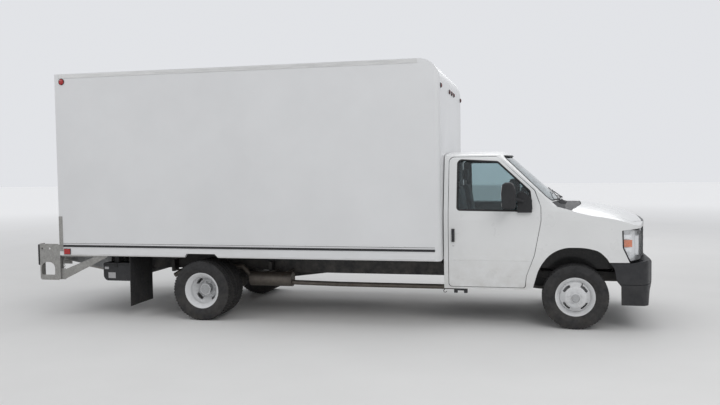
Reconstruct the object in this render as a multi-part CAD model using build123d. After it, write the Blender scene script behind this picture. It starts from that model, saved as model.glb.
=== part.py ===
from build123d import *
import os
from math import cos, hypot, radians, sin, sqrt

# Box truck: a cutaway van cab and chassis with twin rear wheels, carrying a sixteen-foot box.
# +X points forward, +Y to the driver's side and +Z up. The origin is on the ground, at the
# middle of the whole length and width. Sizes are in millimetres.

# Axles and overall length
wheelbase = 4470
front_overhang = 870
rear_overhang = 2290
front_axle_x = (wheelbase + rear_overhang - front_overhang) / 2
rear_axle_x = front_axle_x - wheelbase
front_track = 1763
rear_track = 1974

# Wheels: steel discs of one pattern, mounted dish out at the front and as twins at the rear
tyre_radius = 370
tyre_width = 225
bead_radius = 206
rim_width = 156
rim_lip = 16
rim_wall = 8
disc_offset = 136
disc_wall = 8
disc_face_radius = 112
hub_hole_radius = 62
lug_circle = 165.1
lug_count = 8
hand_hole_count = 4
hand_hole_radius = 140
hand_hole_turn = 30
hand_hole_height = 28
hub_radius = 72
spindle_radius = 30
bearing_gap = 0.5
brake_radius = 150

# Running gaps
gap = 6
seat = 0.3

# Load box, with its places along the truck counted from the rear axle
box_rear = -1964
box_front = 2975
box_width = 2440
box_top = 3106
sill_bottom = 783
deck_top = 920
deck_wall = 32
box_wall = 45
roof_wall = 45
front_wall = 50
nose_radius = 245
box_corner_radius = 60
notch_front = 234
notch_rear = -213
notch_height = 45
notch_slope = 24
cross_sill_pitch = 305
cross_sill_width = 45
long_sill_width = 62
rear_post_width = 95
rear_frame_depth = 50
header_height = 190
door_wall = 28
door_panel_count = 7
panel_groove = 5

# Chassis rails: places along the truck are counted from the rear axle
rail_half_width = 430
rail_flange = 65
rail_web = 8
rail_top = 700
rail_depth = 190
rail_rear = -1390
front_rail_top = 590
front_rail_depth = 170
front_kick = 60
axle_kick = 40
rear_rail_bottom = 540

# Cab and nose, with places along the truck counted from the front axle
cab_back = -1484
cab_half_width = 1014
roof_half_width = 850
belt_height = 1345
roof_height = 2063
cab_wall = 45
door_thickness = 110
frame_thickness = 48
flange_wall = 24
door_step = 14
panel_wall = 25
hood_wall = 34
glass_wall = 6
glass_inset = 14
floor_height = 640
floor_wall = 40
rocker_bottom = 440


def front_x(offset):
    """Place along the truck, counted from the front axle."""
    return front_axle_x + offset


def rear_x(offset):
    """Place along the truck, counted from the rear axle."""
    return rear_axle_x + offset


def block(x0, x1, y0, y1, z0, z1):
    """Block between two corners."""
    size = Box(x1 - x0, y1 - y0, z1 - z0)
    return Pos((x0 + x1) / 2, (y0 + y1) / 2, (z0 + z1) / 2) * size


def outline_face(plane, corners):
    """Face from a closed outline whose corners are (across, up, corner radius)."""
    points = [(across, up) for across, up, radius in corners]
    radii = [radius for across, up, radius in corners]
    return make_face(plane * FilletPolyline(*points, radius=radii, close=True))


def side_prism(corners, y0, y1):
    """Side outline of (x, z, corner radius), thick from y0 to y1."""
    return extrude(outline_face(Plane.XZ.offset(-y0), corners), y1 - y0, dir=(0, 1, 0))


def end_prism(corners, x0, x1):
    """End outline of (y, z, corner radius), thick from x0 to x1."""
    return extrude(outline_face(Plane.YZ.offset(x0), corners), x1 - x0, dir=(1, 0, 0))


def plan_prism(corners, z0, z1):
    """Plan outline of (x, y, corner radius), thick from z0 to z1."""
    return extrude(outline_face(Plane.XY.offset(z0), corners), z1 - z0, dir=(0, 0, 1))


def rod(start, end, radius):
    """Round bar between two points."""
    path = Line(start, end)
    return extrude(Plane(path @ 0, z_dir=path % 0) * Circle(radius), path.length)


def turned(corners):
    """Ring turned about the Y axis from (y, radius, corner radius)."""
    return revolve(outline_face(Plane.YZ, corners), Axis.Y)


def both_sides(shape):
    """The right-hand shape with its mirror image on the left."""
    return [shape, mirror(shape, about=Plane.XZ)]


parts = {}


def add(node, *shapes):
    """Keep the solids of one node."""
    solids = []
    for shape in shapes:
        solids += list(shape.solids())
    parts[node] = solids


# Outer form of the cab and nose

# Every surface is flat, round or a ring, so that each form can be moved in by any inset.

# Half of the plan outline from the back to the middle: place, distance inside the side, radius
nose_plan = [
    (cab_back, 0, 0),
    (100, 0, 900),
    (690, 48, 150),
    (800, None, 1200),
]
shoulder_y = 420
# Half of the outline across the cab: half width, height, corner radius
cab_section = [
    (cab_half_width - 42, 300, 0),
    (cab_half_width - 9, 790, 300),
    (cab_half_width, 1240, 300),
    (cab_half_width - 6, belt_height, 200),
    (roof_half_width, roof_height - 62, 120),
]
roof_crown_radius = 6000
# Roof line along the middle: place, distance below the roof's height, corner radius
roof_line = [
    (cab_back, 18, 0),
    (-1135, 0, 1500),
    (-840, 16, 500),
    (-640, 80, 0),
]
# Bonnet: an arc along the middle, turned about a line far below it, which gives the crown
hood_rear = (-330, 1385)
hood_middle = (423, 1365)
hood_front = (900, 1172)
hood_crown_radius = 4560
hood_crown_angle = 32
# Windscreen: a round sheet that leans back along a line
screen_top = (-752, 2015)
screen_foot = (-166, 1489)
screen_radius = 4600
# Shoulders that carry the wings' upper edges back to the windscreen's foot: place, height, radius
shoulder_line = [
    (-420, 1437, 0),
    (-254, 1412, 300),
    (60, 1323, 900),
    (300, 1272, 0),
]
# Inner edge of the shoulders, seen from above: place, across
shoulder_edge = [
    (-420, 906),
    (-70, 906),
    (-62, 935),
    (300, 905),
]
shoulder_low = 1100
form_reach = 1200


def shoulder(inset):
    """Right-hand shoulder, with its top and its inner side moved in by the inset."""
    top = [(front_x(place), height - inset, radius) for place, height, radius in shoulder_line]
    foot = [(top[-1][0], shoulder_low, 0), (top[0][0], shoulder_low, 0)]
    inner = [(front_x(place), -across - inset, 0) for place, across in shoulder_edge]
    outer = [(inner[-1][0], -form_reach, 0), (inner[0][0], -form_reach, 0)]
    return side_prism(top + foot, -form_reach, 0) & plan_prism(inner + outer, shoulder_low, roof_height)


def cab_form(inset, back_inset=None):
    """Outer form of cab and nose, with every face moved in by the inset."""
    back = inset if back_inset is None else back_inset
    side = cab_half_width - inset
    right = []
    for place, inside_side, radius in nose_plan:
        across = shoulder_y if inside_side is None else side - inside_side
        shift = back if place < 0 else (-inset if place > 400 else 0)
        right.append((front_x(place + shift), -across, radius))
    left = [(x, -y, radius) for x, y, radius in reversed(right)]
    nose = plan_prism(right + left, rocker_bottom, roof_height + 100)

    half = [(-across + inset, height, radius) for across, height, radius in cab_section]
    half[-1] = (half[-1][0], half[-1][1] - inset, half[-1][2])
    other = [(-across, height, radius) for across, height, radius in reversed(half)]
    section = half + [(0, roof_height - inset, roof_crown_radius)] + other
    body = nose & end_prism(section, front_x(cab_back - 100), front_x(1000))

    roof = [(front_x(place), roof_height - drop - inset, radius) for place, drop, radius in roof_line]
    house = side_prism(
        roof + [(front_x(300), roof[-1][1], 0), (front_x(300), 0, 0), (front_x(cab_back), 0, 0)],
        -form_reach, form_reach,
    )
    lean = (screen_top[0] - screen_foot[0], 0, screen_top[1] - screen_foot[1])
    foot = (front_x(screen_foot[0]) - 3 * lean[0], 0, screen_foot[1] - 3 * lean[2])
    screen_plane = Plane(foot, x_dir=(0, 1, 0), z_dir=lean)
    sheet = screen_plane * Pos(0, screen_radius, 0) * Circle(screen_radius - inset)
    house = house & extrude(sheet, 5 * hypot(lean[0], lean[2]))

    arc = ThreePointArc(*[(front_x(x), z - inset) for x, z in (hood_rear, hood_middle, hood_front)])
    ends = Polyline(
        (front_x(hood_front[0]), hood_front[1] - inset), (front_x(hood_front[0]), 600),
        (front_x(hood_rear[0]), 600), (front_x(hood_rear[0]), hood_rear[1] - inset),
    )
    crown_line = Axis((0, 0, hood_middle[1] - hood_crown_radius), (1, 0, 0))
    ring = revolve(make_face(Plane.XZ * (arc + ends)), crown_line, hood_crown_angle)
    ring = ring.rotate(crown_line, -hood_crown_angle / 2)
    low = block(front_x(hood_rear[0]), front_x(hood_front[0]), -form_reach, form_reach, 0, 900)
    return body & (house + ring + low + both_sides(shoulder(inset)))


skin = cab_form(0)
under_panel = cab_form(panel_wall)
under_hood_panel = cab_form(hood_wall)
inside = cab_form(cab_wall)
glass_out = cab_form(glass_inset)
glass_in = cab_form(glass_inset + glass_wall)
door_frame_in = cab_form(frame_thickness, 0)
door_in = cab_form(door_thickness, 0)
door_lip_in = cab_form(flange_wall, 0)

# Door and its window, seen from the side: place from the front axle, height, corner radius
door_outline = [
    (-1428, 466, 40),
    (-1428, 1975, 60),
    (-868, 1975, 60),
    (-450, 1582, 60),
    (-382, 1400, 60),
    (-380, 1240, 120),
    (-455, 839, 200),
    (-545, 600, 120),
    (-560, 466, 30),
]
window_outline = [
    (-1323, 1365, 30),
    (-1323, 1940, 45),
    (-868, 1912, 45),
    (-505, 1575, 45),
    (-482, 1353, 30),
]
window_sill = 1353


def placed(outline):
    """Outline counted from the front axle, moved to its place along the truck."""
    return [(front_x(place), height, radius) for place, height, radius in outline]


def grown(outline, amount):
    """Outline with its corners moved away from their middle by the amount."""
    middle_x = sum(row[0] for row in outline) / len(outline)
    middle_z = sum(row[1] for row in outline) / len(outline)
    moved = []
    for place, height, radius in outline:
        out_x = amount if place > middle_x else -amount
        out_z = amount if height > middle_z else -amount
        moved.append((place + out_x, height + out_z, radius))
    return moved


door_hole = side_prism(placed(grown(door_outline, gap)), -1200, -500)
door_cut = door_hole + mirror(door_hole, about=Plane.XZ)
window_cut = side_prism(placed(window_outline), -1200, -500)

# Windscreen outline seen from the front: across, height, corner radius
screen_outline = [
    (-895, 1466, 50),
    (-735, 1985, 70),
    (735, 1985, 70),
    (895, 1466, 50),
]
screen_cut = end_prism(screen_outline, front_x(-1000), front_x(300))

# Cab shell: roof, pillars, back wall and rocker strips
pillar_foot = 1450
floor_half = 850
floor_front = -545
shell_front = -554
rocker_wall = 20
shell = skin - inside
shell -= door_cut
shell -= screen_cut
shell -= block(front_x(-80), front_x(900), -form_reach, form_reach, 0, 2200)
shell -= block(front_x(shell_front) - seat, front_x(900), -form_reach, form_reach, 0, pillar_foot)
shell -= block(front_x(cab_back - 1), front_x(900), -floor_half, floor_half, 0, floor_height - floor_wall)
ledge = block(
    front_x(cab_back), front_x(shell_front) - seat, -cab_half_width, -floor_half - seat,
    rocker_bottom, rocker_bottom + rocker_wall,
)
for piece in both_sides(ledge):
    shell += skin & piece
add("cab_shell", shell)

# Cab floor, bulkhead and engine cover
bulkhead_wall = 30
cover_half = 330
cover_rear = -880
cover_top = 1000
cover_wall = 22
sill_wall = 45
floor_plate = block(
    front_x(cab_back + cab_wall + seat), front_x(floor_front), -floor_half, floor_half,
    floor_height - floor_wall, floor_height,
)
bulkhead = block(
    front_x(floor_front), front_x(floor_front + bulkhead_wall), -floor_half, floor_half,
    floor_height - floor_wall, belt_height - 40,
)
cover = block(
    front_x(cover_rear), front_x(floor_front + 1), -cover_half, cover_half,
    floor_height - floor_wall, cover_top,
)
cover_space = block(
    front_x(cover_rear + cover_wall), front_x(floor_front + bulkhead_wall + 1),
    -cover_half + cover_wall, cover_half - cover_wall, 0, cover_top - cover_wall,
)
sills = both_sides(block(
    front_x(cab_back + cab_wall + seat), front_x(floor_front), -floor_half,
    -floor_half + sill_wall, rocker_bottom + 30, floor_height,
))
cab_floor = floor_plate + bulkhead + cover
cab_floor += sills
cab_floor -= cover_space

# Seats stand on plain pedestals that belong to the floor
seat_y = 500
seat_half = 235
seat_rear = -1400
seat_front = -900
pedestal_height = 210
cushion_height = 150
back_height = 640
back_depth = 130
headrest_height = 170
cushion_bottom = floor_height + pedestal_height
pedestal = block(
    front_x(seat_rear + 80), front_x(seat_front - 60), -seat_y - 170, -seat_y + 150,
    floor_height, cushion_bottom,
)
cab_floor += both_sides(pedestal)
add("cab_floor", cab_floor)

seat_profile = [
    (seat_rear + 60, cushion_bottom + seat, 30),
    (seat_rear - 4, cushion_bottom + cushion_height + back_height - 60, 30),
    (seat_rear + 10, cushion_bottom + cushion_height + back_height, 25),
    (seat_rear + 85, cushion_bottom + cushion_height + back_height, 25),
    (seat_rear + 60 + back_depth, cushion_bottom + cushion_height + 60, 40),
    (seat_rear + 90 + back_depth, cushion_bottom + cushion_height - 20, 20),
    (seat_front, cushion_bottom + cushion_height + 5, 40),
    (seat_front - 20, cushion_bottom + seat, 40),
]
headrest_bottom = cushion_bottom + cushion_height + back_height
one_seat = side_prism(placed(seat_profile), -seat_y - seat_half, -seat_y + seat_half)
headrest = block(
    front_x(seat_rear + 2), front_x(seat_rear + 82), -seat_y - 130, -seat_y + 130,
    headrest_bottom + 25, headrest_bottom + 25 + headrest_height,
)
headrest = fillet(headrest.edges(), 25)
for post_y in (-60, 60):
    headrest += rod(
        (front_x(seat_rear + 44), -seat_y + post_y, headrest_bottom - 20),
        (front_x(seat_rear + 44), -seat_y + post_y, headrest_bottom + 40), 7,
    )
add("seats", *both_sides(one_seat + headrest))

# Dashboard with the steering column
dash_half = 840
dash_profile = [
    (-720, 1010, 30),
    (-775, 1130, 50),
    (-740, 1310, 50),
    (-650, belt_height + 45, 60),
    (-240, belt_height + 45, 10),
    (-240, belt_height - 38, 0),
    (floor_front - seat, belt_height - 38, 0),
    (floor_front - seat, 1010, 0),
]
dashboard = side_prism(placed(dash_profile), -dash_half, dash_half)
wheel_tilt = 53
steering_y = 430
steering_centre = (front_x(-905), steering_y, 1262)
column_dir = (-cos(radians(wheel_tilt)), 0, sin(radians(wheel_tilt)))
column_length = 280
column_top = tuple(c - 32.5 * d for c, d in zip(steering_centre, column_dir))
column_low = tuple(c - column_length * d for c, d in zip(steering_centre, column_dir))
dashboard += rod(column_low, column_top, 38)
add("dashboard", dashboard)

steering_radius = 195
grip_radius = 14
hub_plane = Plane(steering_centre, z_dir=column_dir)
grip_section = RegularPolygon(grip_radius, 6)
grip = revolve(Plane.XZ * Pos(steering_radius, 0) * grip_section, Axis.Z)
steering_wheel = hub_plane * grip
steering_wheel += hub_plane * Pos(0, 0, -12) * Cylinder(62, 40)
for spoke_turn in (0, 140, 220):
    spoke = Pos(steering_radius / 2, 0, -6) * Box(steering_radius, 34, 14)
    steering_wheel += hub_plane * Rot(0, 0, spoke_turn + 180) * spoke
add("steering_wheel", steering_wheel)

# Windscreen
windscreen = (glass_out - glass_in) & screen_cut
windscreen &= block(front_x(-900), front_x(200), -form_reach, form_reach, 1440, roof_height)
add("windscreen", windscreen)

# Doors, hung on a line at their front edge so that nothing swings forward or inward
door_depth = -760
door_body = (skin - door_in) & side_prism(placed(grown(door_outline, -door_step)), -form_reach, door_depth)
door_body += (skin - door_lip_in) & side_prism(placed(door_outline), -form_reach, door_depth)
above_sill = block(front_x(-1500), front_x(0), -1200, -500, window_sill + 12, 2200)
door_body -= door_frame_in & above_sill
door_body -= window_cut
handle_outline = [(-1392, 993, 14), (-1392, 1140, 14), (-1358, 1140, 14), (-1358, 993, 14)]
handle = side_prism(placed(handle_outline), -cab_half_width - 16, -cab_half_width + 20)
door_right = door_body + handle
door_glass = (glass_out - glass_in) & side_prism(placed(grown(window_outline, -seat)), -1200, -500)
for side, shape, glass in (
    ("right", door_right, door_glass),
    ("left", mirror(door_right, about=Plane.XZ), mirror(door_glass, about=Plane.XZ)),
):
    add("door_" + side, shape)
    add("door_glass_" + side, glass)

# Door mirrors: a foot in the window's front corner, an arm and a tall head
mirror_out = 1292
foot = side_prism(
    placed([(-640, 1335, 10), (-640, 1570, 30), (-560, 1570, 40), (-476, 1480, 30), (-476, 1335, 10)]),
    -cab_half_width - 42, -roof_half_width,
)
foot -= skin
foot = foot.solids().sort_by(Axis.Y)[0]
head = side_prism(
    placed([(-800, 1385, 35), (-812, 1560, 60), (-795, 1680, 40), (-690, 1680, 50),
            (-655, 1600, 60), (-652, 1385, 40)]),
    -mirror_out, -mirror_out + 230,
)
head = fillet(head.edges().filter_by(Axis.Y, reverse=True), 18)
arm_start = (front_x(-575), -cab_half_width - 30, 1460)
arm_end = (front_x(-690), -mirror_out + 190, 1500)
mirror_piece = foot + rod(arm_start, arm_end, 24) + head
add("mirror_right", mirror_piece)
add("mirror_left", mirror(mirror_piece, about=Plane.XZ))

# Bonnet, seen from above: place, across, corner radius
hood_plan = [
    (-58, -925, 30),
    (100, -380, 700),
    (100, 380, 700),
    (-58, 925, 30),
    (620, 868, 60),
    (757, 560, 200),
    (757, -560, 200),
    (620, -868, 60),
]


def plan_placed(outline):
    """Plan outline counted from the front axle, moved to its place."""
    return [(front_x(place), across, radius) for place, across, radius in outline]


hood_sheet_low = 1165
hood_zone = plan_prism(plan_placed(hood_plan), hood_sheet_low + gap, roof_height)
hood = (skin - under_hood_panel) & hood_zone
add("hood", hood)

# Front wings with their wheel housings
arch_outline = [
    (-516, 300, 0),
    (-404, 694, 500),
    (-290, 855, 340),
    (-130, 937, 350),
    (105, 937, 550),
    (258, 900, 200),
    (345, 812, 140),
    (368, 771, 0),
    (440, 771, 0),
    (440, 300, 0),
]
grille_half = 560
wing_outline = [
    (-374, 1240, 110),
    (-376, 1400, 40),
    (-440, 1575, 0),
    (-300, 1620, 0),
    (830, 1300, 0),
    (830, 1151, 0),
    (680, 1153, 30),
    (499.7, 1131, 10),
    (506.7, 938, 20),
    (584, 771, 0),
    (430, 771, 0),
    (430, 440, 0),
    (-554, 440, 0),
    (-539, 602, 110),
    (-449, 839, 190),
]
wing_zone = side_prism(placed(wing_outline), -form_reach, -grille_half - seat)
wing = (skin - under_panel) & wing_zone
arch_cut = side_prism(placed(arch_outline), -1200, -400)
wing -= arch_cut
hood_hole = plan_prism(plan_placed(grown(hood_plan, gap)), 1050, roof_height)
wing -= hood_hole
wing -= screen_cut
wing -= block(front_x(-900), front_x(900), -form_reach, form_reach, pillar_foot - seat, 2200)
cowl_plan = [(-600, -905, 0), (-66, -905, 0), (92, -380, 700), (92, 380, 700), (-66, 905, 0), (-600, 905, 0)]
wing -= plan_prism(plan_placed(grown(cowl_plan, seat)), 1200, 1700)
wing = wing.solids().sort_by(SortBy.VOLUME)[-1]
housing_wall = 12
housing_in = 560
apron_low = 645
arch_face = outline_face(Plane.XZ.offset(cab_half_width), placed(arch_outline))
housing = extrude(offset(arch_face, housing_wall), cab_half_width - housing_in, dir=(0, 1, 0))
housing -= arch_cut
housing -= block(front_x(-900), front_x(900), -cab_half_width, -housing_in, 0, 440)
housing -= block(front_x(0), front_x(900), -cab_half_width, -housing_in, 0, 771)
# The apron closes the housing towards the engine, above the springs
housing += side_prism(placed(arch_outline), -housing_in - housing_wall, -housing_in) & block(
    front_x(-600), front_x(440), -housing_in - housing_wall, -housing_in, apron_low, roof_height,
)
housing = housing & under_panel
wing += housing - hood_hole
add("wings", *both_sides(wing))

# Cowl panel between bonnet and windscreen
cowl_wall = 20
cowl_drop = 3
cowl = cab_form(cowl_drop) - cab_form(cowl_drop + cowl_wall)
cowl &= plan_prism(plan_placed(cowl_plan), 1200, pillar_foot - seat)
cowl -= block(front_x(-1000), front_x(-376), -form_reach, form_reach, 0, 2200)
cowl = cowl.solids().sort_by(SortBy.VOLUME)[-1]
add("cowl_panel", cowl)

# Grille: a frame with a raised centre bar and rows of slots over the radiator face
grille_bottom = 808
grille_top = 1212
grille_crest = 1260
grille_depth = 60
grille_rows = 4
grille_columns = 2
grille_frame = 42
grille_bar = 20
radiator_wall = 14
nose_block = block(front_x(500), front_x(900), -grille_half, grille_half, grille_bottom, grille_crest)
hood_room = plan_prism(plan_placed(grown(hood_plan, gap)), hood_sheet_low, roof_height)
grille = ((skin - cab_form(grille_depth)) & nose_block) - hood_room
slot_height = (grille_top - grille_bottom - 2 * grille_frame - (grille_rows - 1) * grille_bar) / grille_rows
slot_width = (2 * grille_half - 2 * grille_frame - grille_bar) / grille_columns
slot_keep = cab_form(grille_depth - radiator_wall)
for row in range(grille_rows):
    low = grille_bottom + grille_frame + row * (slot_height + grille_bar)
    for column in range(grille_columns):
        left = -grille_half + grille_frame + column * (slot_width + grille_bar)
        slot = block(front_x(400), front_x(900), left, left + slot_width, low, low + slot_height)
        grille -= slot - slot_keep
grille = grille.solids().sort_by(SortBy.VOLUME)[-1]
# The latch behind the grille carries the bonnet's front edge
latch_half = 70
latch_zone = block(front_x(700), front_x(745), -latch_half, latch_half, 1110, roof_height)
grille += latch_zone & cab_form(hood_wall + seat)
add("grille", grille)

# Headlamps wrap round the front corners; they share a node with the small lamps
lamp_depth = 70
lamp_outline = [(500, 1130, 10), (507, 938, 20), (582, 776, 12), (830, 815, 0), (830, 1150, 0), (680, 1152, 30)]
lamp_zone = side_prism(placed(lamp_outline), -form_reach, -grille_half - seat)
headlamp = ((cab_form(4) - cab_form(lamp_depth)) & lamp_zone) - hood_room
headlamp = headlamp.solids().sort_by(SortBy.VOLUME)[-1]

# Front bumper: plan outline, front profile and tuck at the sides
rail_front = 620
bumper_low = 288
bumper_high = 804
bumper_half = 994
bumper_wall = 45
# Front profile: distance behind the front, height, corner radius
bumper_profile = [
    (52, bumper_high, 0),
    (8, 752, 30),
    (0, 665, 200),
    (4, 535, 40),
    (52, 430, 60),
    (74, bumper_low, 0),
]
# Rear edge and upper edge, seen from the side: place from the front axle, height, corner radius
bumper_rear = [(503, bumper_low, 0), (497, 500, 0), (449, 560, 30), (423, 700, 60), (374, 762, 0)]
bumper_top = [(588, 762), (830, bumper_high - 4), (900, bumper_high - 4)]
bumper_tuck = 40
bumper_seam = 519
seam_height = 7
seam_depth = 8


def bumper_form(inset):
    """Outer form of the bumper, moved in by the inset."""
    side = bumper_half - inset
    right = [
        (front_x(-200), -side, 0),
        (front_x(770 - inset), -side + 14, 150),
        (front_x(front_overhang - inset), -shoulder_y - 170, 600),
    ]
    left = [(x, -y, radius) for x, y, radius in reversed(right)]
    form = plan_prism(right + left, bumper_low, bumper_high)
    front = [(front_x(front_overhang - back - inset), z, r) for back, z, r in bumper_profile]
    form &= side_prism(front + [(front_x(-200), bumper_low, 0), (front_x(-200), bumper_high, 0)],
                       -form_reach, form_reach)
    tuck = side - bumper_tuck
    form &= end_prism([(-tuck, bumper_low, 0), (-side, 560, 200), (-side, bumper_high, 0),
                       (side, bumper_high, 0), (side, 560, 200), (tuck, bumper_low, 0)],
                      front_x(-300), front_x(1000))
    return form


bumper_out = bumper_form(0)
bumper_in = bumper_form(bumper_wall)
bumper_side = bumper_rear + [(x, z, 0) for x, z in bumper_top] + [(900, bumper_low, 0)]
bumper = (bumper_out - bumper_in) & side_prism(placed(bumper_side), -form_reach, form_reach)
ledge_line = [(x, z, 0) for x, z in bumper_top]
ledge_line += [(x, z - 20, 0) for x, z in reversed(bumper_top)]
bumper += bumper_in & side_prism(placed(ledge_line), -800, 800)
seam_band = block(
    front_x(0), front_x(front_overhang), -form_reach, form_reach, bumper_seam, bumper_seam + seam_height,
)
bumper -= (bumper_out - bumper_form(seam_depth)) & seam_band
horn = block(front_x(rail_front) + seat, front_x(830), -rail_half_width + 10, -rail_half_width + 60, 500, 570)
bumper += both_sides(horn & bumper_in)
add("front_bumper", bumper)

# Engine and gearbox as plain blocks at their place
engine = block(front_x(-760), front_x(260), -290, 290, 510, 950)
gearbox = block(front_x(-1450), front_x(-760), -170, 170, 430, 590)
add("engine_block", engine + gearbox)

# Chassis rails: pressed channels with a raised run over the rear axle, joined by cross members
front_rail_bottom = front_rail_top - front_rail_depth
rail_bottom = rail_top - rail_depth
rail_line = [
    (rear_x(rail_rear), rail_top, 0),
    (front_x(-1640), rail_top, 0),
    (front_x(-1500), front_rail_top, 0),
    (front_x(rail_front), front_rail_top, 0),
    (front_x(rail_front), front_rail_bottom + front_kick, 0),
    (front_x(-300), front_rail_bottom + front_kick, 0),
    (front_x(-520), front_rail_bottom, 0),
    (front_x(-1350), front_rail_bottom, 0),
    (front_x(-1560), rail_bottom, 0),
    (rear_x(900), rail_bottom, 0),
    (rear_x(430), rail_bottom + axle_kick, 0),
    (rear_x(-430), rail_bottom + axle_kick, 0),
    (rear_x(-560), rear_rail_bottom, 0),
    (rear_x(rail_rear), rear_rail_bottom, 0),
]
rail = side_prism(rail_line, -rail_half_width, -rail_half_width + rail_flange)
pocket_line = offset(outline_face(Plane.XZ.offset(rail_half_width - rail_web), rail_line), -rail_web)
rail -= extrude(pocket_line, rail_flange, dir=(0, 1, 0))
rails = Part() + both_sides(rail)
# Cross members: place counted from the rear axle, height of their middle
cross_members = [
    (-1340, 645),
    (-700, 645),
    (480, 650),
    (1150, 650),
    (1950, 650),
    (2700, 650),
    (4960, 535),
]
member_radius = 38
for place, height in cross_members:
    rails += rod(
        (rear_x(place), -rail_half_width + rail_web - 1, height),
        (rear_x(place), rail_half_width - rail_web + 1, height), member_radius,
    )
# Rubber pads under the cab floor: place from the front axle
for place in (-1300, -700):
    rails += both_sides(block(
        front_x(place), front_x(place + 80), -rail_half_width, -rail_half_width + rail_flange,
        front_rail_top - 1, floor_height - floor_wall - seat,
    ))
# Brackets that carry the radius arms of the front axle
arm_bracket_x = -790
arm_bracket_y = 500
rails += both_sides(block(
    front_x(arm_bracket_x - 40), front_x(arm_bracket_x), -arm_bracket_y, -rail_half_width + 1, 400, 480,
))

# Box floor: deck, cross sills and the two long sills that stand on the rails
box_half = box_width / 2
inner_half = box_half - box_wall
deck_front = box_front - front_wall
deck = block(
    rear_x(box_rear + rear_frame_depth), rear_x(deck_front), -inner_half, inner_half,
    deck_top - deck_wall, deck_top,
)
box_floor = deck
sill_span = deck_front - box_rear - rear_frame_depth - cross_sill_width
sill_total = int(sill_span / cross_sill_pitch) + 1
arch_room = tyre_radius - 30
for index in range(sill_total):
    start = deck_front - cross_sill_width - index * sill_span / (sill_total - 1)
    box_floor += block(
        rear_x(start), rear_x(start + cross_sill_width), -inner_half, inner_half,
        sill_bottom + (notch_height if abs(start) < arch_room else 0), deck_top - deck_wall,
    )
long_sill = block(
    rear_x(rail_rear), rear_x(deck_front), -rail_half_width + 2,
    -rail_half_width + 2 + long_sill_width, rail_top, deck_top - deck_wall,
)
box_floor += both_sides(long_sill)
add("box_floor", box_floor)

# Box walls: side walls with bottom rails, and the roof with its curved nose and front wall
nose_z = box_top - nose_radius
side_outline = [
    (rear_x(box_rear + rear_frame_depth), sill_bottom, 0),
    (rear_x(notch_rear), sill_bottom, 0),
    (rear_x(notch_rear + notch_slope), sill_bottom + notch_height, 0),
    (rear_x(notch_front - notch_height), sill_bottom + notch_height, 0),
    (rear_x(notch_front), sill_bottom, 0),
    (rear_x(box_front), sill_bottom, 0),
    (rear_x(box_front), box_top, nose_radius),
    (rear_x(box_rear + rear_frame_depth), box_top, 0),
]
box_prism = side_prism(side_outline, -box_half, box_half)
plan_corners = [
    (rear_x(box_rear), -box_half, 0),
    (rear_x(box_front), -box_half, box_corner_radius),
    (rear_x(box_front), box_half, box_corner_radius),
    (rear_x(box_rear), box_half, 0),
]
box_form = box_prism & plan_prism(plan_corners, sill_bottom, box_top)
groove_depth = 4
groove_height = 7
stripe_low = 894
stripe_high = 919
# Thin grooves of the bottom rail: height of the lower edge
rail_grooves = [stripe_low - 14, 936]
side_wall = box_form & block(
    rear_x(box_rear), rear_x(box_front), -box_half, -inner_half, sill_bottom, box_top,
)
for low in rail_grooves:
    side_wall -= block(
        rear_x(box_rear), rear_x(box_front - box_corner_radius - 10), -box_half - 1,
        -box_half + groove_depth, low, low + groove_height,
    )
add("box_sides", *both_sides(side_wall))

between = block(rear_x(box_rear), rear_x(box_front), -inner_half, inner_half, 0, box_top)
front_panel = box_form & between & block(
    rear_x(deck_front), rear_x(box_front), -box_half, box_half, sill_bottom, nose_z,
)
inner_outline = [
    (rear_x(box_rear), deck_top, 0),
    (rear_x(box_front - roof_wall), deck_top, 0),
    (rear_x(box_front - roof_wall), box_top - roof_wall, nose_radius - roof_wall),
    (rear_x(box_rear), box_top - roof_wall, 0),
]
roof = box_form & between & block(rear_x(box_rear), rear_x(box_front), -box_half, box_half, nose_z, box_top)
roof -= side_prism(inner_outline, -box_half, box_half)
add("box_roof", roof + front_panel)

# Rear frame: two posts, a header and a sill, with guard bars on the outer corners
frame_front = box_rear + rear_frame_depth
rear_frame = block(
    rear_x(box_rear), rear_x(frame_front), -box_half, box_half, sill_bottom, box_top,
)
door_half = box_half - rear_post_width
rear_frame -= block(
    rear_x(box_rear - 1), rear_x(frame_front + 1), -door_half, door_half, deck_top, box_top - header_height,
)
guard_low = 838
guard_high = 1286
guard_wall = 5
guard = block(
    rear_x(box_rear), rear_x(frame_front), -box_half - guard_wall,
    -box_half + 60, guard_low, guard_high,
)
guard -= block(rear_x(box_rear), rear_x(frame_front + 1), -box_half, box_half, 0, box_top)
rear_frame += both_sides(guard)
add("rear_frame", rear_frame)

# Roll-up door, closed between the posts: panels with a groove at each joint
door_top = box_top - header_height
roll_gap = 2
shutter_rear = box_rear + 12
shutter = block(
    rear_x(shutter_rear), rear_x(shutter_rear + door_wall), -door_half + roll_gap,
    door_half - roll_gap, deck_top + seat, door_top - roll_gap,
)
panel_height = (door_top - deck_top) / door_panel_count
for index in range(1, door_panel_count):
    joint = deck_top + index * panel_height
    shutter -= block(
        rear_x(shutter_rear - 1), rear_x(shutter_rear + panel_groove), -box_half, box_half,
        joint - 5, joint + 5,
    )
pull = block(
    rear_x(shutter_rear - 10), rear_x(shutter_rear), -70, 70, deck_top + 40, deck_top + 130,
)
add("rollup_door", shutter + pull)

# Clearance lamps and markers, each a small domed or flat lens that sits on its panel
lens_radius = 30
lens_wall = 20
lamps = []
nose_lamp_drop = 306
header_lamp_drop = 95
marker_drop = 98
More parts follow.
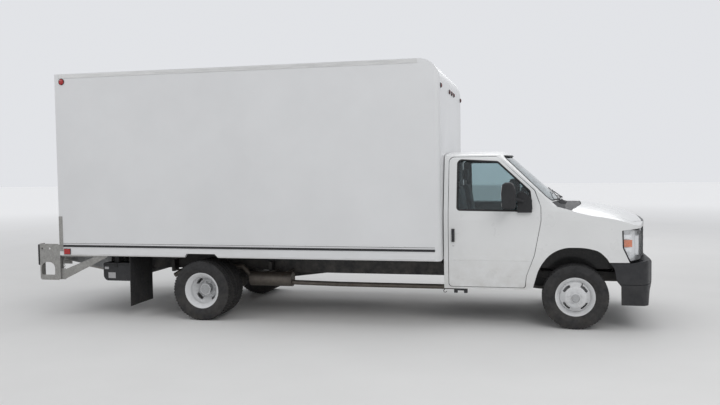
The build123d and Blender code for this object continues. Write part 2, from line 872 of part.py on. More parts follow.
# Nose lamps and rear header lamps: distance from the middle
for across in (-1120, -250, 0, 250, 1120):
    lens_plane = Plane((rear_x(box_front) + seat, across, box_top - nose_lamp_drop), z_dir=(1, 0, 0))
    lamps.append(lens_plane * Pos(0, 0, lens_wall / 2) * Cylinder(lens_radius, lens_wall))
for across in (-1100, -250, 0, 250, 1100):
    lens_plane = Plane((rear_x(box_rear) - seat, across, box_top - header_lamp_drop), z_dir=(-1, 0, 0))
    lamps.append(lens_plane * Pos(0, 0, lens_wall / 2) * Cylinder(lens_radius, lens_wall))
# Tail lamps in the rear sill: distance from the middle
tail_lamp_radius = 52
for across in (-860, -715, 715, 860):
    lens_plane = Plane((rear_x(box_rear) - seat, across, (sill_bottom + deck_top) / 2), z_dir=(-1, 0, 0))
    lamps.append(lens_plane * Pos(0, 0, lens_wall / 2) * Cylinder(tail_lamp_radius, lens_wall))
# Side markers
for side in (-1, 1):
    marker_plane = Plane(
        (rear_x(-1863), side * (box_half + seat), box_top - marker_drop), z_dir=(0, side, 0),
    )
    lamps.append(marker_plane * Pos(0, 0, 8) * Cylinder(41, 16))
    face = side * (box_half + seat)
    lamps.append(block(rear_x(-1901), rear_x(-1805), min(face, face + side * 16), max(face, face + side * 16),
                       794, 872))
add("lamps", *lamps, *both_sides(headlamp))

# Wheels, each drawn about its own centre with the outer side towards +Y
half_rim = rim_width / 2
lip_radius = bead_radius + rim_lip
well_radius = bead_radius - 26
barrel_line = [
    (-half_rim - 8, lip_radius, 0),
    (-half_rim, bead_radius, 0),
    (half_rim, bead_radius, 0),
    (half_rim + 8, lip_radius, 0),
    (half_rim + 8, lip_radius - rim_wall, 0),
    (half_rim - 8, bead_radius - rim_wall, 0),
    (half_rim - 44, well_radius - rim_wall, 0),
    (-half_rim + 44, well_radius - rim_wall, 0),
    (-half_rim + 8, bead_radius - rim_wall, 0),
    (-half_rim - 8, lip_radius - rim_wall, 0),
]
disc_line = [
    (30, well_radius - rim_wall + 1, 0),
    (58, well_radius - 14, 0),
    (disc_offset - 14, disc_face_radius + 12, 0),
    (disc_offset, disc_face_radius - 4, 0),
    (disc_offset, hub_hole_radius, 0),
    (disc_offset - disc_wall, hub_hole_radius, 0),
    (disc_offset - disc_wall, disc_face_radius - 8, 0),
    (disc_offset - 22, disc_face_radius + 2, 0),
    (52, well_radius - 24, 0),
    (22, well_radius - rim_wall + 1, 0),
]

hand_hole = SlotArc(CenterArc((0, 0), hand_hole_radius, 90 - hand_hole_turn / 2, hand_hole_turn), hand_hole_height)
nut_radius = 13
nut_length = 22


def wheel(side):
    """One steel wheel whose disc bulges to the side given by the sign."""
    steel = turned(barrel_line) + turned(disc_line)
    for index in range(hand_hole_count):
        turn = 45 + index * 360 / hand_hole_count
        cutter = Rot(-90, 0, 0) * extrude(hand_hole, 2 * disc_offset, both=True)
        steel -= Rot(0, turn, 0) * cutter
    return steel if side > 0 else mirror(steel, about=Plane.XZ)


def lug_nuts(face, side):
    """Ring of wheel nuts that stand on a face."""
    nuts = Part()
    nut = extrude(RegularPolygon(nut_radius, 6), nut_length)
    for index in range(lug_count):
        turn = (index + 0.5) * 360 / lug_count
        up = Pos(0, face, lug_circle / 2) * (Rot(-90 * side, 0, 0) * nut)
        nuts += Rot(0, turn, 0) * up
    return nuts


tread_half = tyre_width / 2 - 14
# Right half of the section from the bead to the middle of the tread: across, radius
tyre_half_line = [
    (half_rim - 2, bead_radius),
    (half_rim + 6, lip_radius + 4),
    (tyre_width / 2 - 5, bead_radius + 48),
    (tyre_width / 2, bead_radius + 78),
    (tyre_width / 2 - 6, bead_radius + 118),
    (tread_half + 1, tyre_radius - 16),
    (tread_half - 9, tyre_radius - 3),
    (tread_half - 26, tyre_radius),
]
tyre_line = [(across, radius, 0) for across, radius in tyre_half_line]
tyre_line += [(-across, radius, 0) for across, radius in reversed(tyre_half_line)]
tyre = turned(tyre_line)


def at_wheel(place, across):
    """Move a wheel to its place on an axle."""
    return Pos(place, across, tyre_radius)


# Front wheels with hub and brake disc, turning on a spindle
front_half = front_track / 2
king_y = 740
spindle_end = disc_offset + 14
cap_radius = 48
hub_line = [
    (disc_offset - disc_wall, disc_face_radius - 10, 0),
    (disc_offset - disc_wall - 12, disc_face_radius - 10, 0),
    (disc_offset - disc_wall - 16, hub_radius, 0),
    (-20, hub_radius, 0),
    (-20, brake_radius, 0),
    (-48, brake_radius, 0),
    (-48, spindle_radius + bearing_gap, 0),
    (spindle_end + bearing_gap, spindle_radius + bearing_gap, 0),
    (spindle_end + bearing_gap, 0, 0),
    (spindle_end + 40, 0, 0),
    (spindle_end + 40, cap_radius - 8, 8),
    (spindle_end + 10, cap_radius, 0),
    (disc_offset, cap_radius + 8, 0),
    (disc_offset, hub_hole_radius, 0),
    (disc_offset - disc_wall, hub_hole_radius, 0),
]
front_hub = turned(hub_line)
front_wheel = wheel(1) + front_hub + lug_nuts(disc_offset, 1)
for side_name, side in (("left", 1), ("right", -1)):
    rim_piece = front_wheel if side > 0 else mirror(front_wheel, about=Plane.XZ)
    add("rim_front_" + side_name, at_wheel(front_axle_x, side * front_half) * rim_piece)
    add("tyre_front_" + side_name, at_wheel(front_axle_x, side * front_half) * tyre)

# Rear twins: two wheels back to back on one hub with a brake drum, turning on the axle's end
rear_half = rear_track / 2
axle_end_radius = 38
rear_spindle_end = 92
drum_radius = 158
rear_cap_radius = 52
flange_radius = 66
rear_hub_line = [
    (disc_wall, hub_hole_radius, 0),
    (disc_wall, flange_radius, 0),
    (disc_wall + 1, rear_cap_radius, 0),
    (rear_spindle_end + 6, rear_cap_radius, 0),
    (rear_spindle_end + 6, flange_radius, 0),
    (rear_spindle_end + 18, flange_radius, 0),
    (rear_spindle_end + 24, 30, 0),
    (rear_spindle_end + 24, 0, 0),
    (rear_spindle_end + bearing_gap, 0, 0),
    (rear_spindle_end + bearing_gap, axle_end_radius + bearing_gap, 0),
    (-150, axle_end_radius + bearing_gap, 0),
    (-150, drum_radius, 0),
    (-60, drum_radius, 0),
    (-50, hub_radius, 0),
    (-disc_wall, hub_radius, 0),
    (-disc_wall, hub_hole_radius, 0),
]
rear_hub = turned(rear_hub_line)
twin = Pos(0, disc_offset, 0) * wheel(-1) + Pos(0, -disc_offset, 0) * wheel(1) + rear_hub
twin += lug_nuts(disc_wall, 1)
for side_name, side in (("left", 1), ("right", -1)):
    piece = twin if side > 0 else mirror(twin, about=Plane.XZ)
    add("rims_rear_" + side_name, at_wheel(rear_axle_x, side * rear_half) * piece)
    add(
        "tyres_rear_" + side_name,
        at_wheel(rear_axle_x, side * (rear_half + disc_offset)) * tyre,
        at_wheel(rear_axle_x, side * (rear_half - disc_offset)) * tyre,
    )

# Knuckles: king pin, spindle, steering arm and brake caliper
axle_z = tyre_radius
king_half = 78
knuckle_face = front_half - 48 - 6
knuckle = rod((front_axle_x, -king_y, axle_z - king_half), (front_axle_x, -king_y, axle_z + king_half), 24)
knuckle += block(
    front_axle_x - 34, front_axle_x + 34, -knuckle_face, -king_y, axle_z - 52, axle_z + 52,
)
knuckle += rod(
    (front_axle_x, -king_y, axle_z), (front_axle_x, -front_half - spindle_end, axle_z), spindle_radius,
)
knuckle += block(
    front_axle_x - 150, front_axle_x - 16, -king_y - 34, -king_y - 10, axle_z - 70, axle_z - 46,
)
add("knuckle_right", knuckle)
add("knuckle_left", mirror(knuckle, about=Plane.XZ))

# Twin front beams, each from a bracket past the middle to the opposite wheel's king pin
beam_offset = 52
beam_pivot_y = 210
beam_half = 32
pivot_z = 395
yoke_in = king_y - 60
arm_radius = 22
arm_pad = 24


def front_beam(side):
    """Beam, radius arm and coil spring of the wheel on the side given by the sign."""
    place = front_axle_x + side * beam_offset
    outline = [
        (-side * beam_pivot_y, pivot_z - 45, 0),
        (-side * beam_pivot_y, pivot_z + 45, 0),
        (side * yoke_in, axle_z + king_half, 0),
        (side * yoke_in, axle_z - king_half, 0),
    ]
    if side > 0:
        outline = outline[::-1]
    beam = end_prism(outline, place - beam_half / 2, place + beam_half / 2)
    low, high = axle_z - king_half, axle_z + king_half
    yoke_x0, yoke_x1 = front_axle_x - 38, front_axle_x + 38
    y_in, y_out = sorted((side * yoke_in, side * (king_y + 34)))
    y_pad = sorted((side * (yoke_in - 40), side * (yoke_in + 8)))
    reach = sorted((place - side * beam_half / 2, front_axle_x - side * 38))
    beam += block(reach[0], reach[1], y_pad[0], y_pad[1], low - 26, high + 26)
    for z0, z1 in ((low - 30, low - seat), (high + seat, high + 30)):
        beam += block(yoke_x0, yoke_x1, min(y_in, y_out), max(y_in, y_out), z0, z1)
    arm_start = (place - 10, side * 545, axle_z + 10)
    arm_end = (front_x(arm_bracket_x) + arm_pad / 2, side * 475, 438)
    beam += rod(arm_start, arm_end, arm_radius)
    y_bracket = sorted((side * (arm_bracket_y - 50), side * arm_bracket_y))
    beam += block(
        front_x(arm_bracket_x) + seat, front_x(arm_bracket_x) + arm_pad, y_bracket[0], y_bracket[1], 404, 472,
    )
    return beam


spring_radius = 58
spring_wire = 9
spring_turns = 4
spring_y = 600
spring_bottom = axle_z + 60
spring_top = 620
beams = []
for side in (-1, 1):
    beam = front_beam(side)
    place = front_axle_x + side * beam_offset
    pitch = (spring_top - spring_bottom) / spring_turns
    beam += rod((place, side * spring_y, axle_z), (place, side * spring_y, spring_top), spring_radius - 22)
    for index in range(spring_turns):
        height = spring_bottom + (index + 0.5) * pitch
        coil = revolve(Plane.XZ * Pos(spring_radius - 16, 0) * RegularPolygon(spring_wire, 4), Axis.Z)
        beam += Pos(place, side * spring_y, height) * coil
    beams.append(beam)
add("front_axle_beams", *beams)

# Rear axle: tube, differential, spring packs and the two-piece driveshaft
tube_radius = 46
axle = rod((rear_axle_x, -rear_half + 156, axle_z), (rear_axle_x, rear_half - 156, axle_z), tube_radius)
axle += rod(
    (rear_axle_x, -rear_half - rear_spindle_end, axle_z), (rear_axle_x, rear_half + rear_spindle_end, axle_z),
    axle_end_radius,
)
case_radius = 158
case = turned([
    (-80, 0, 0), (-80, 90, 20), (-45, case_radius, 40), (60, case_radius, 40), (95, 80, 20), (95, 0, 0),
])
axle += Pos(rear_axle_x - 12, 0, axle_z) * case
pinion_front = 330
axle += rod((rear_axle_x, 0, axle_z), (rear_axle_x + pinion_front, 0, axle_z), 62)
spring_pack_y = 520
leaf_width = 64
leaf_wall = 13
# Leaves from the top down: reach to the front, reach to the rear
leaves = [(660, 700), (600, 620), (470, 480), (330, 340), (190, 200)]
spring_seat = axle_z + tube_radius
leaf_radius = 6400
spring_low = spring_seat + 18
leaf_centre_z = spring_low + len(leaves) * leaf_wall + leaf_radius


def leaf_z(reach, radius):
    """Height of a leaf's face at a distance from the axle."""
    return leaf_centre_z - sqrt(radius ** 2 - reach ** 2)


for index, (front_reach, rear_reach) in enumerate(leaves):
    faces = []
    for radius in (leaf_radius + index * leaf_wall, leaf_radius + (index + 1) * leaf_wall):
        faces.append([(rear_x(reach), leaf_z(reach, radius)) for reach in (-rear_reach, 0, front_reach)])
    over = ThreePointArc(*faces[0])
    under = ThreePointArc(*faces[1])
    edges = over + Line(over @ 1, under @ 1) + under + Line(under @ 0, over @ 0)
    face = make_face(Plane.XZ.offset(spring_pack_y + leaf_width / 2) * edges)
    axle += both_sides(extrude(face, leaf_width, dir=(0, 1, 0)))
saddle = block(
    rear_axle_x - 60, rear_axle_x + 60, -spring_pack_y - leaf_width / 2, -spring_pack_y + leaf_width / 2,
    axle_z, spring_low + 2,
)
axle += both_sides(saddle)
eye_z = leaf_z(leaves[0][0], leaf_radius)
for reach in (leaves[0][0] + 10, -leaves[0][1] - 10):
    hanger = block(
        rear_x(reach - 20), rear_x(reach + 20), -spring_pack_y - leaf_width / 2 - 8,
        -rail_half_width, eye_z - 26, eye_z + 120,
    )
    axle += both_sides(hanger)
shaft_radius = 45
centre_x = 1500
shaft_z = 520
joint_reach = 40
axle += rod((rear_x(pinion_front - 30), 0, axle_z), (rear_x(centre_x), 0, shaft_z), shaft_radius)
axle += rod((rear_x(centre_x), 0, shaft_z), (front_x(-1450 - seat), 0, shaft_z), shaft_radius)
axle += rod((rear_x(centre_x - joint_reach), 0, shaft_z), (rear_x(centre_x + joint_reach), 0, shaft_z), 62)
add("rear_axle", axle)

# Exhaust: muffler outside the right rail, a pipe to the engine and a tail pipe over the axle
muffler_y = -665
muffler_z = 455
muffler_radius = 92
pipe_radius = 30
muffler_rear = 450
muffler_front = 1010
# Pipe runs: place from the rear axle, across, height
front_run = [
    (muffler_front - 10, muffler_y, muffler_z - 40), (1600, -540, 385), (3050, -540, 385), (3300, -330, 385),
    (3520, -230, 470),
]
tail_run = [
    (muffler_rear + 10, muffler_y, muffler_z + 20), (330, -645, 600), (-420, -645, 600), (-640, -645, 470),
]
exhaust = Pos(rear_x((muffler_rear + muffler_front) / 2), muffler_y, muffler_z) * Rot(0, 90, 0) * Cylinder(
    muffler_radius, muffler_front - muffler_rear
)
for run in (front_run, tail_run):
    points = [(rear_x(place), across, height) for place, across, height in run]
    for start, end in zip(points, points[1:]):
        exhaust += rod(start, end, pipe_radius)
    for corner in points[1:-1]:
        exhaust += Pos(*corner) * Sphere(pipe_radius)
# Straps that hang the muffler from the rail
for place in (muffler_rear + 270, muffler_front - 90):
    exhaust += block(
        rear_x(place), rear_x(place + 30), muffler_y - 10, -rail_half_width - seat,
        muffler_z + muffler_radius - 8, muffler_z + muffler_radius + 6,
    )
add("exhaust", exhaust)

# Fuel tank on the left rail, held by two straps
tank_front = 2150
tank_rear = 1050
tank_in = rail_half_width + seat
tank_out = 900
tank_low = 415
tank_high = 690
tank = block(rear_x(tank_rear), rear_x(tank_front), tank_in + 4, tank_out, tank_low, tank_high)
tank = fillet(tank.edges().filter_by(Axis.X), 50)
for place in (tank_rear + 220, tank_front - 260):
    strap = block(rear_x(place), rear_x(place + 40), tank_in, tank_out + 4, tank_low - 4, tank_high + 4)
    tank += fillet(strap.edges().filter_by(Axis.X), 50)
add("fuel_tank", tank)

# Mud flaps behind the rear wheels
flap_x = -985
flap_wall = 10
flap_low = 145
flap_in = 640
flap_out = 1195
flap = block(rear_x(flap_x), rear_x(flap_x + flap_wall), -flap_out, -flap_in, flap_low, sill_bottom - seat)
add("mud_flaps", *both_sides(flap))

# Power unit box of the tail lift, hung under the sill on the right
pump_rear = -1416
pump_front = -1040
pump_low = 450
pump_high = 680
pump_out = 1100
pump_in = 906
pump_outline = [
    (rear_x(pump_rear), pump_low, 70), (rear_x(pump_rear), pump_high, 12), (rear_x(pump_front), pump_high, 12),
    (rear_x(pump_front), pump_low, 12),
]
pump_box = side_prism(pump_outline, -pump_out, -pump_in)
hanger_rear = -1282
hanger_front = -1222
hanger_wall = 8
hanger_inset = 50
for across in (-pump_out + hanger_inset, -pump_in - hanger_inset):
    pump_box += block(
        rear_x(hanger_rear), rear_x(hanger_front), across, across + hanger_wall,
        pump_high - hanger_inset, sill_bottom - seat,
    )
add("pump_box", pump_box)

# Rear steps: galvanised side plates with a D-shaped opening, a tread and a brace
step_rear = -2262
step_front = -1990
step_low = 460
step_high = 930
step_wall = 8
step_width = 260
step_half = box_half
opening_rear = -2242
opening_front = -2045
opening_low = 527
opening_high = 692
plate = side_prism(
    [(rear_x(step_rear), step_low, 30), (rear_x(step_rear), step_high, 12), (rear_x(step_front), step_high, 0),
     (rear_x(step_front), step_low, 0)], -step_half, -step_half + step_wall,
)
plate -= side_prism(
    [(rear_x(opening_rear), opening_low, 18), (rear_x(opening_rear), opening_high, 80),
     (rear_x(opening_front), opening_high, 80), (rear_x(opening_front), opening_low, 18)],
    -step_half - 1, -step_half + step_wall + 1,
)
eye_radius = 13
eye_height = 868
# Two round holes near the top of the plate
for place in (-2225, -2118):
    plate -= Pos(rear_x(place), -step_half, eye_height) * Rot(90, 0, 0) * Cylinder(eye_radius, 4 * step_wall)
step = plate
tread_top = 700
flange_width = 100
step += block(
    rear_x(step_rear), rear_x(step_rear + step_wall), -step_half, -step_half + flange_width,
    step_low + 20, step_high,
)
step += block(
    rear_x(step_rear), rear_x(box_rear), -step_half + step_wall - 1, -step_half + step_width,
    tread_top - step_wall, tread_top,
)
step += block(
    rear_x(step_front), rear_x(box_rear), -step_half, -step_half + 70, step_low + 8, step_high - 10,
)
step += block(
    rear_x(step_rear), rear_x(box_rear), -step_half + step_width - step_wall, -step_half + step_width,
    tread_top - 60, tread_top + 120,
)
brace = block(rear_x(-1995), rear_x(-1904), -step_half + 20, -step_half + 28, 468, 610)
arm_line = [
    (rear_x(-1925), 466, 0), (rear_x(-1925), 592, 0), (rear_x(-1438), sill_bottom, 0),
    (rear_x(-1285), sill_bottom, 0), (rear_x(-1285), sill_bottom - 12, 0),
]
brace += side_prism(arm_line, -step_half + 20, -step_half + 28)
brace += side_prism(
    [(rear_x(-1950), sill_bottom - 14, 0), (rear_x(-1950), sill_bottom, 0), (rear_x(-1285), sill_bottom, 0),
     (rear_x(-1285), sill_bottom - 14, 0)], -step_half + 8, -step_half + 60,
)
step += brace
add("rear_steps", *both_sides(step))

# Rubber buffers on the rear flanges of the steps
buffer_low = 651
buffer_high = 919
rear_face = -rear_overhang
buffer = block(
    rear_x(rear_face), rear_x(step_rear) - seat, -step_half + 4, -step_half + flange_width - 4, buffer_low, buffer_high,
)
buffer = fillet(buffer.edges().filter_by(Axis.Y), 5)
add("dock_buffers", *both_sides(buffer))

# Tail lift: cross tube with hangers, two arms and the folded platform with a slot for each arm
tube_x = -1250
tube_z = 475
lift_tube_radius = 52
lift_tube_half = 640
hanger_y = rail_half_width
lift_tube = rod((rear_x(tube_x), -lift_tube_half, tube_z), (rear_x(tube_x), lift_tube_half, tube_z),
                lift_tube_radius)
lift_hanger = block(
    rear_x(tube_x - 48), rear_x(tube_x + 48), -hanger_y - 12, -hanger_y, tube_z - 40, rail_top - 10,
)
lift_tube += both_sides(lift_hanger)
add("frame_rails", rails + lift_tube)

arm_y = 560
arm_wall = 24
arm_height = 90
link_x = -1345
link_z = 489
link_radius = 20
heel_x = -2010
heel_z = 585
eye_outer = lift_tube_radius + 26
arms = Part()
arm_outline = [
    (rear_x(tube_x), tube_z - arm_height / 2), (rear_x(tube_x), tube_z + arm_height / 2),
    (rear_x(heel_x), heel_z + 30), (rear_x(heel_x), heel_z - 30),
]
for side in (-1, 1):
    y0 = side * arm_y - arm_wall / 2
    bar = side_prism([(x, z, 0) for x, z in arm_outline], y0, y0 + arm_wall)
    bar += Pos(rear_x(tube_x), side * arm_y, tube_z) * Rot(90, 0, 0) * Cylinder(eye_outer, arm_wall)
    bar += Pos(rear_x(heel_x), side * arm_y, heel_z) * Rot(90, 0, 0) * Cylinder(30, arm_wall)
    arms += bar
arms -= Pos(rear_x(tube_x), 0, tube_z) * Rot(90, 0, 0) * Cylinder(lift_tube_radius + bearing_gap, 2000)
heel_pin_radius = 15
arms -= Pos(rear_x(heel_x), 0, heel_z) * Rot(90, 0, 0) * Cylinder(heel_pin_radius + bearing_gap, 2000)
arms += rod((rear_x(link_x), -arm_y, link_z), (rear_x(link_x), arm_y, link_z), link_radius)
add("lift_arms", arms)

platform_half = 900
platform_rear = -2175
platform_front = -1420
platform = side_prism(
    [(rear_x(platform_rear), 700, 0), (rear_x(platform_rear), 718, 0), (rear_x(platform_rear + 120), 742, 0),
     (rear_x(platform_front), 742, 0), (rear_x(platform_front), 562, 0)], -platform_half, platform_half,
)
arm_slot = arm_wall / 2 + gap
for side in (-1, 1):
    platform -= block(
        rear_x(heel_x + 40), rear_x(platform_front) + 1, side * arm_y - arm_slot, side * arm_y + arm_slot,
        0, sill_bottom,
    )
    for shift in (-1, 1):
        middle = side * arm_y + shift * (arm_wall / 2 + 7 + 2)
        ear = Pos(rear_x(heel_x), middle, heel_z) * Rot(90, 0, 0) * Cylinder(28, 14)
        ear += block(rear_x(heel_x - 28), rear_x(heel_x + 28), middle - 7, middle + 7, heel_z, 690)
        platform += ear
    platform += Pos(rear_x(heel_x), side * arm_y, heel_z) * Rot(90, 0, 0) * Cylinder(heel_pin_radius, 60)
add("lift_platform", platform)

os.makedirs("parts", exist_ok=True)
for name, solids in parts.items():
    whole = solids[0] if len(solids) == 1 else Compound(solids)
    export_step(whole, "parts/" + name + ".step")
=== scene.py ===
import math

import bmesh
import bpy
from mathutils import Matrix, Vector
from mathutils.bvhtree import BVHTree


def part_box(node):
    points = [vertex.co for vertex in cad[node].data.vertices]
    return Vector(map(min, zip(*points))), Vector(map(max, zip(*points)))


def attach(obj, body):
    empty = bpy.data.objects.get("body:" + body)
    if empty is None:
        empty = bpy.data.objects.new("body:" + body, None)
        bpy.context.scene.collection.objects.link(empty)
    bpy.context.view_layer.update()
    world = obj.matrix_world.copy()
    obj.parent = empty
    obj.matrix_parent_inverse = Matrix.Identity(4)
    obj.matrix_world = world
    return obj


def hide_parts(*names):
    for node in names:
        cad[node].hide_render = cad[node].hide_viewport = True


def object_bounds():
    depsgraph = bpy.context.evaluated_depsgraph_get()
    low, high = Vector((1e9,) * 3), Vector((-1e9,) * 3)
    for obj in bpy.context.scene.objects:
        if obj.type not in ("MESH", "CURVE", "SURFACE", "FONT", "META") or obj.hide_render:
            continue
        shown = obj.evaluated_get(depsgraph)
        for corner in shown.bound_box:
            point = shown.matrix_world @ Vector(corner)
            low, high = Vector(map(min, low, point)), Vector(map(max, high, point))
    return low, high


# Box truck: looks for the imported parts. Metres; +X to the front, +Y to the left, +Z up.

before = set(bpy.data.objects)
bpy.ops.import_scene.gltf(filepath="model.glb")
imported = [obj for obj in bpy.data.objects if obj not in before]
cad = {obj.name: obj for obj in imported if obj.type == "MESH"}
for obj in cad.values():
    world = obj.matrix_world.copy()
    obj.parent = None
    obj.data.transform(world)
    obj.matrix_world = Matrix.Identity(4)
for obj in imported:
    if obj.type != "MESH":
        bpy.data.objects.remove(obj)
cad_low, cad_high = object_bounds()


def middle(node):
    """Middle of a node's box."""
    low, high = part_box(node)
    return (low + high) / 2


front_axle = middle("tyre_front_right").x
rear_axle = middle("rims_rear_right").x
axle_z = middle("tyre_front_right").z
box_low, box_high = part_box("box_sides")
box_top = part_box("box_roof")[1].z
sides = ((-1, "right"), (1, "left"))


# Meshes


def linked(name, data):
    """New object in the scene."""
    made = bpy.data.objects.new(name, data)
    bpy.context.scene.collection.objects.link(made)
    return made


def softened(piece, width, steps, angle=40):
    """Rounded edges where faces meet at more than the angle."""
    soft = piece.modifiers.new("edges", "BEVEL")
    soft.width = width
    soft.segments = steps
    soft.limit_method = "ANGLE"
    soft.angle_limit = math.radians(angle)


def thickened(piece, amount):
    """Thickness for a piece made of a single skin."""
    piece.modifiers.new("thick", "SOLIDIFY").thickness = amount
    return piece


def turned_to(place, direction):
    """Matrix that takes +Z to the direction and the origin to the place."""
    return Matrix.Translation(place) @ Vector(direction).to_track_quat("Z", "Y").to_matrix().to_4x4()


class Shape:
    """A mesh that grows by boxes, turned rings, tubes, plates and bolts."""

    def __init__(self, verts=(), faces=()):
        self.verts = list(verts)
        self.faces = list(faces)

    def add(self, verts, faces, move=None):
        start = len(self.verts)
        self.verts += [move @ Vector(v) if move else Vector(v) for v in verts]
        self.faces += [[start + i for i in face] for face in faces]
        return self

    def box(self, low, high, move=None):
        """Box between two opposite corners, given in any order."""
        (x0, x1), (y0, y1), (z0, z1) = (sorted(pair) for pair in zip(low, high))
        verts = [(x0, y0, z0), (x1, y0, z0), (x1, y1, z0), (x0, y1, z0),
                 (x0, y0, z1), (x1, y0, z1), (x1, y1, z1), (x0, y1, z1)]
        faces = [(0, 3, 2, 1), (4, 5, 6, 7), (0, 1, 5, 4), (1, 2, 6, 5), (2, 3, 7, 6), (3, 0, 4, 7)]
        return self.add(verts, faces, move)

    def ring(self, profile, segments=48, move=None, closed=False):
        """Profile of (along, radius) turned about the Z axis."""
        verts, faces = [], []
        n = len(profile)
        for k in range(segments):
            turn = 2 * math.pi * k / segments
            verts += [(r * math.cos(turn), r * math.sin(turn), a) for a, r in profile]
            a, b = k * n, (k + 1) % segments * n
            for i in range(n if closed else n - 1):
                j = (i + 1) % n
                faces.append((a + i, b + i, b + j, a + j))
        if not closed:
            faces.append([k * n for k in range(segments)][::-1])
            faces.append([k * n + n - 1 for k in range(segments)])
        return self.add(verts, faces, move)

    def tube(self, points, radius, sides=8, closed=False, flat=1.0, up=(0, 0, 1)):
        """Round or flattened bar along a path."""
        points = [Vector(p) for p in points]
        count = len(points)
        verts, faces = [], []
        for k, p in enumerate(points):
            after = points[(k + 1) % count] if closed or k < count - 1 else p
            before = points[k - 1] if closed or k > 0 else p
            along = (after - before).normalized()
            side = along.cross(Vector(up))
            if side.length < 1e-4:
                side = along.cross(Vector((1, 0, 0)))
            side.normalize()
            top = side.cross(along)
            for s in range(sides):
                turn = 2 * math.pi * s / sides
                verts.append(p + side * radius * math.cos(turn) + top * radius * flat * math.sin(turn))
        for k in range(count if closed else count - 1):
            a, b = k * sides, (k + 1) % count * sides
            for s in range(sides):
                t = (s + 1) % sides
                faces.append((a + s, a + t, b + t, b + s))
        if not closed:
            faces.append(list(range(sides))[::-1])
            faces.append([(count - 1) * sides + s for s in range(sides)])
        return self.add(verts, faces)

    def plate(self, outline, thickness, move=None):
        """Flat outline of (x, y), thick along Z."""
        n = len(outline)
        verts = [(x, y, 0) for x, y in outline] + [(x, y, thickness) for x, y in outline]
        faces = [list(range(n))[::-1], [n + i for i in range(n)]]
        faces += [(i, (i + 1) % n, n + (i + 1) % n, n + i) for i in range(n)]
        return self.add(verts, faces, move)

    def bolt(self, place, direction, radius=0.009, height=0.006):
        """Hexagon head on a washer."""
        turn = turned_to(place, direction)
        self.ring([(-0.001, radius * 1.35), (0.0015, radius * 1.35), (0.002, radius)], 16, turn)
        self.ring([(0.0015, radius), (height, radius), (height + 0.0015, radius * 0.8)], 6, turn)

    def mesh(self, name):
        mesh = bpy.data.meshes.new(name)
        mesh.from_pydata([tuple(v) for v in self.verts], [], self.faces)
        return mesh

    def reworked(self, change, drop=0.0):
        """The shape after a change to its bmesh, moved in along its normals by the drop."""
        mesh = self.mesh("work")
        work = bmesh.new()
        work.from_mesh(mesh)
        change(work)
        work.normal_update()
        work.verts.index_update()
        faces = [[v.index for v in f.verts] for f in work.faces]
        done = Shape([v.co - v.normal * drop for v in work.verts], faces)
        work.free()
        bpy.data.meshes.remove(mesh)
        return done

    def clipped(self, *planes, drop=0.0):
        """The part on the near side of planes of (point, direction)."""

        def cut(work):
            for point, direction in planes:
                everything = work.verts[:] + work.edges[:] + work.faces[:]
                bmesh.ops.bisect_plane(work, geom=everything, plane_co=point, plane_no=direction,
                                       clear_outer=True)

        return self.reworked(cut, drop)

    def welded(self, gap=0.0004):
        """The shape with touching corners merged."""
        return self.reworked(lambda work: bmesh.ops.remove_doubles(work, verts=work.verts, dist=gap))

    def make(self, name, look, body="chassis", bevel=0.0, steps=2, smooth=35, replaces=()):
        """The piece itself, on its body and with its material's slot."""
        mesh = self.mesh(name)
        work = bmesh.new()
        work.from_mesh(mesh)
        bmesh.ops.recalc_face_normals(work, faces=work.faces)
        work.to_mesh(mesh)
        work.free()
        mesh.shade_smooth()
        mesh.set_sharp_from_angle(angle=math.radians(smooth))
        mesh.materials.append(look)
        piece = linked(name, mesh)
        if bevel:
            softened(piece, bevel, steps)
        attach(piece, body)
        if replaces:
            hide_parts(*replaces)
        return piece


def tree_of(*nodes):
    """Search tree over the faces of CAD nodes."""
    verts, faces = [], []
    for node in nodes:
        mesh = cad[node].data
        start = len(verts)
        verts += [v.co.copy() for v in mesh.vertices]
        faces += [[start + i for i in p.vertices] for p in mesh.polygons]
    return BVHTree.FromPolygons(verts, faces)


def struck(tree, start, direction):
    """First point of a tree on the way from the start."""
    return tree.ray_cast(Vector(start), Vector(direction))[0]


def off_side(tree, x, z, side, lift):
    """Point off a piece's outer face, at a distance towards the side."""
    return Vector((x, struck(tree, (x, side * 2, z), (0, -side, 0)).y + side * lift, z))


def plane(axis, place, sign):
    """Plane across an axis, as its point and its direction."""
    k = "xyz".index(axis)
    point, direction = Vector(), Vector()
    point[k] = place
    direction[k] = sign
    return point, direction


def hull(points):
    """Convex outline of flat points, counter-clockwise."""
    points = sorted(set((round(a, 5), round(b, 5)) for a, b in points))

    def half(rows):
        kept = []
        for p in rows:
            while len(kept) > 1:
                (ax, ay), (bx, by) = kept[-2], kept[-1]
                if (bx - ax) * (p[1] - ay) - (by - ay) * (p[0] - ax) > 0:
                    break
                kept.pop()
            kept.append(p)
        return kept[:-1]

    return half(points) + half(points[::-1])


def spread(outline, step):
    """Points at about even steps along a closed outline."""
    done = []
    for (ax, ay), (bx, by) in zip(outline, outline[1:] + outline[:1]):
        parts = max(1, round(math.hypot(bx - ax, by - ay) / step))
        done += [(ax + (bx - ax) * k / parts, ay + (by - ay) * k / parts) for k in range(parts)]
    return done


def swollen(outline, amount):
    """Closed outline moved outward by the amount."""
    done = []
    for (ax, ay), (bx, by), (cx, cy) in zip(outline[-1:] + outline, outline, outline[1:] + outline[:1]):
        length = math.hypot(cx - ax, cy - ay)
        done.append((bx + (cy - ay) / length * amount, by - (cx - ax) / length * amount))
    return done


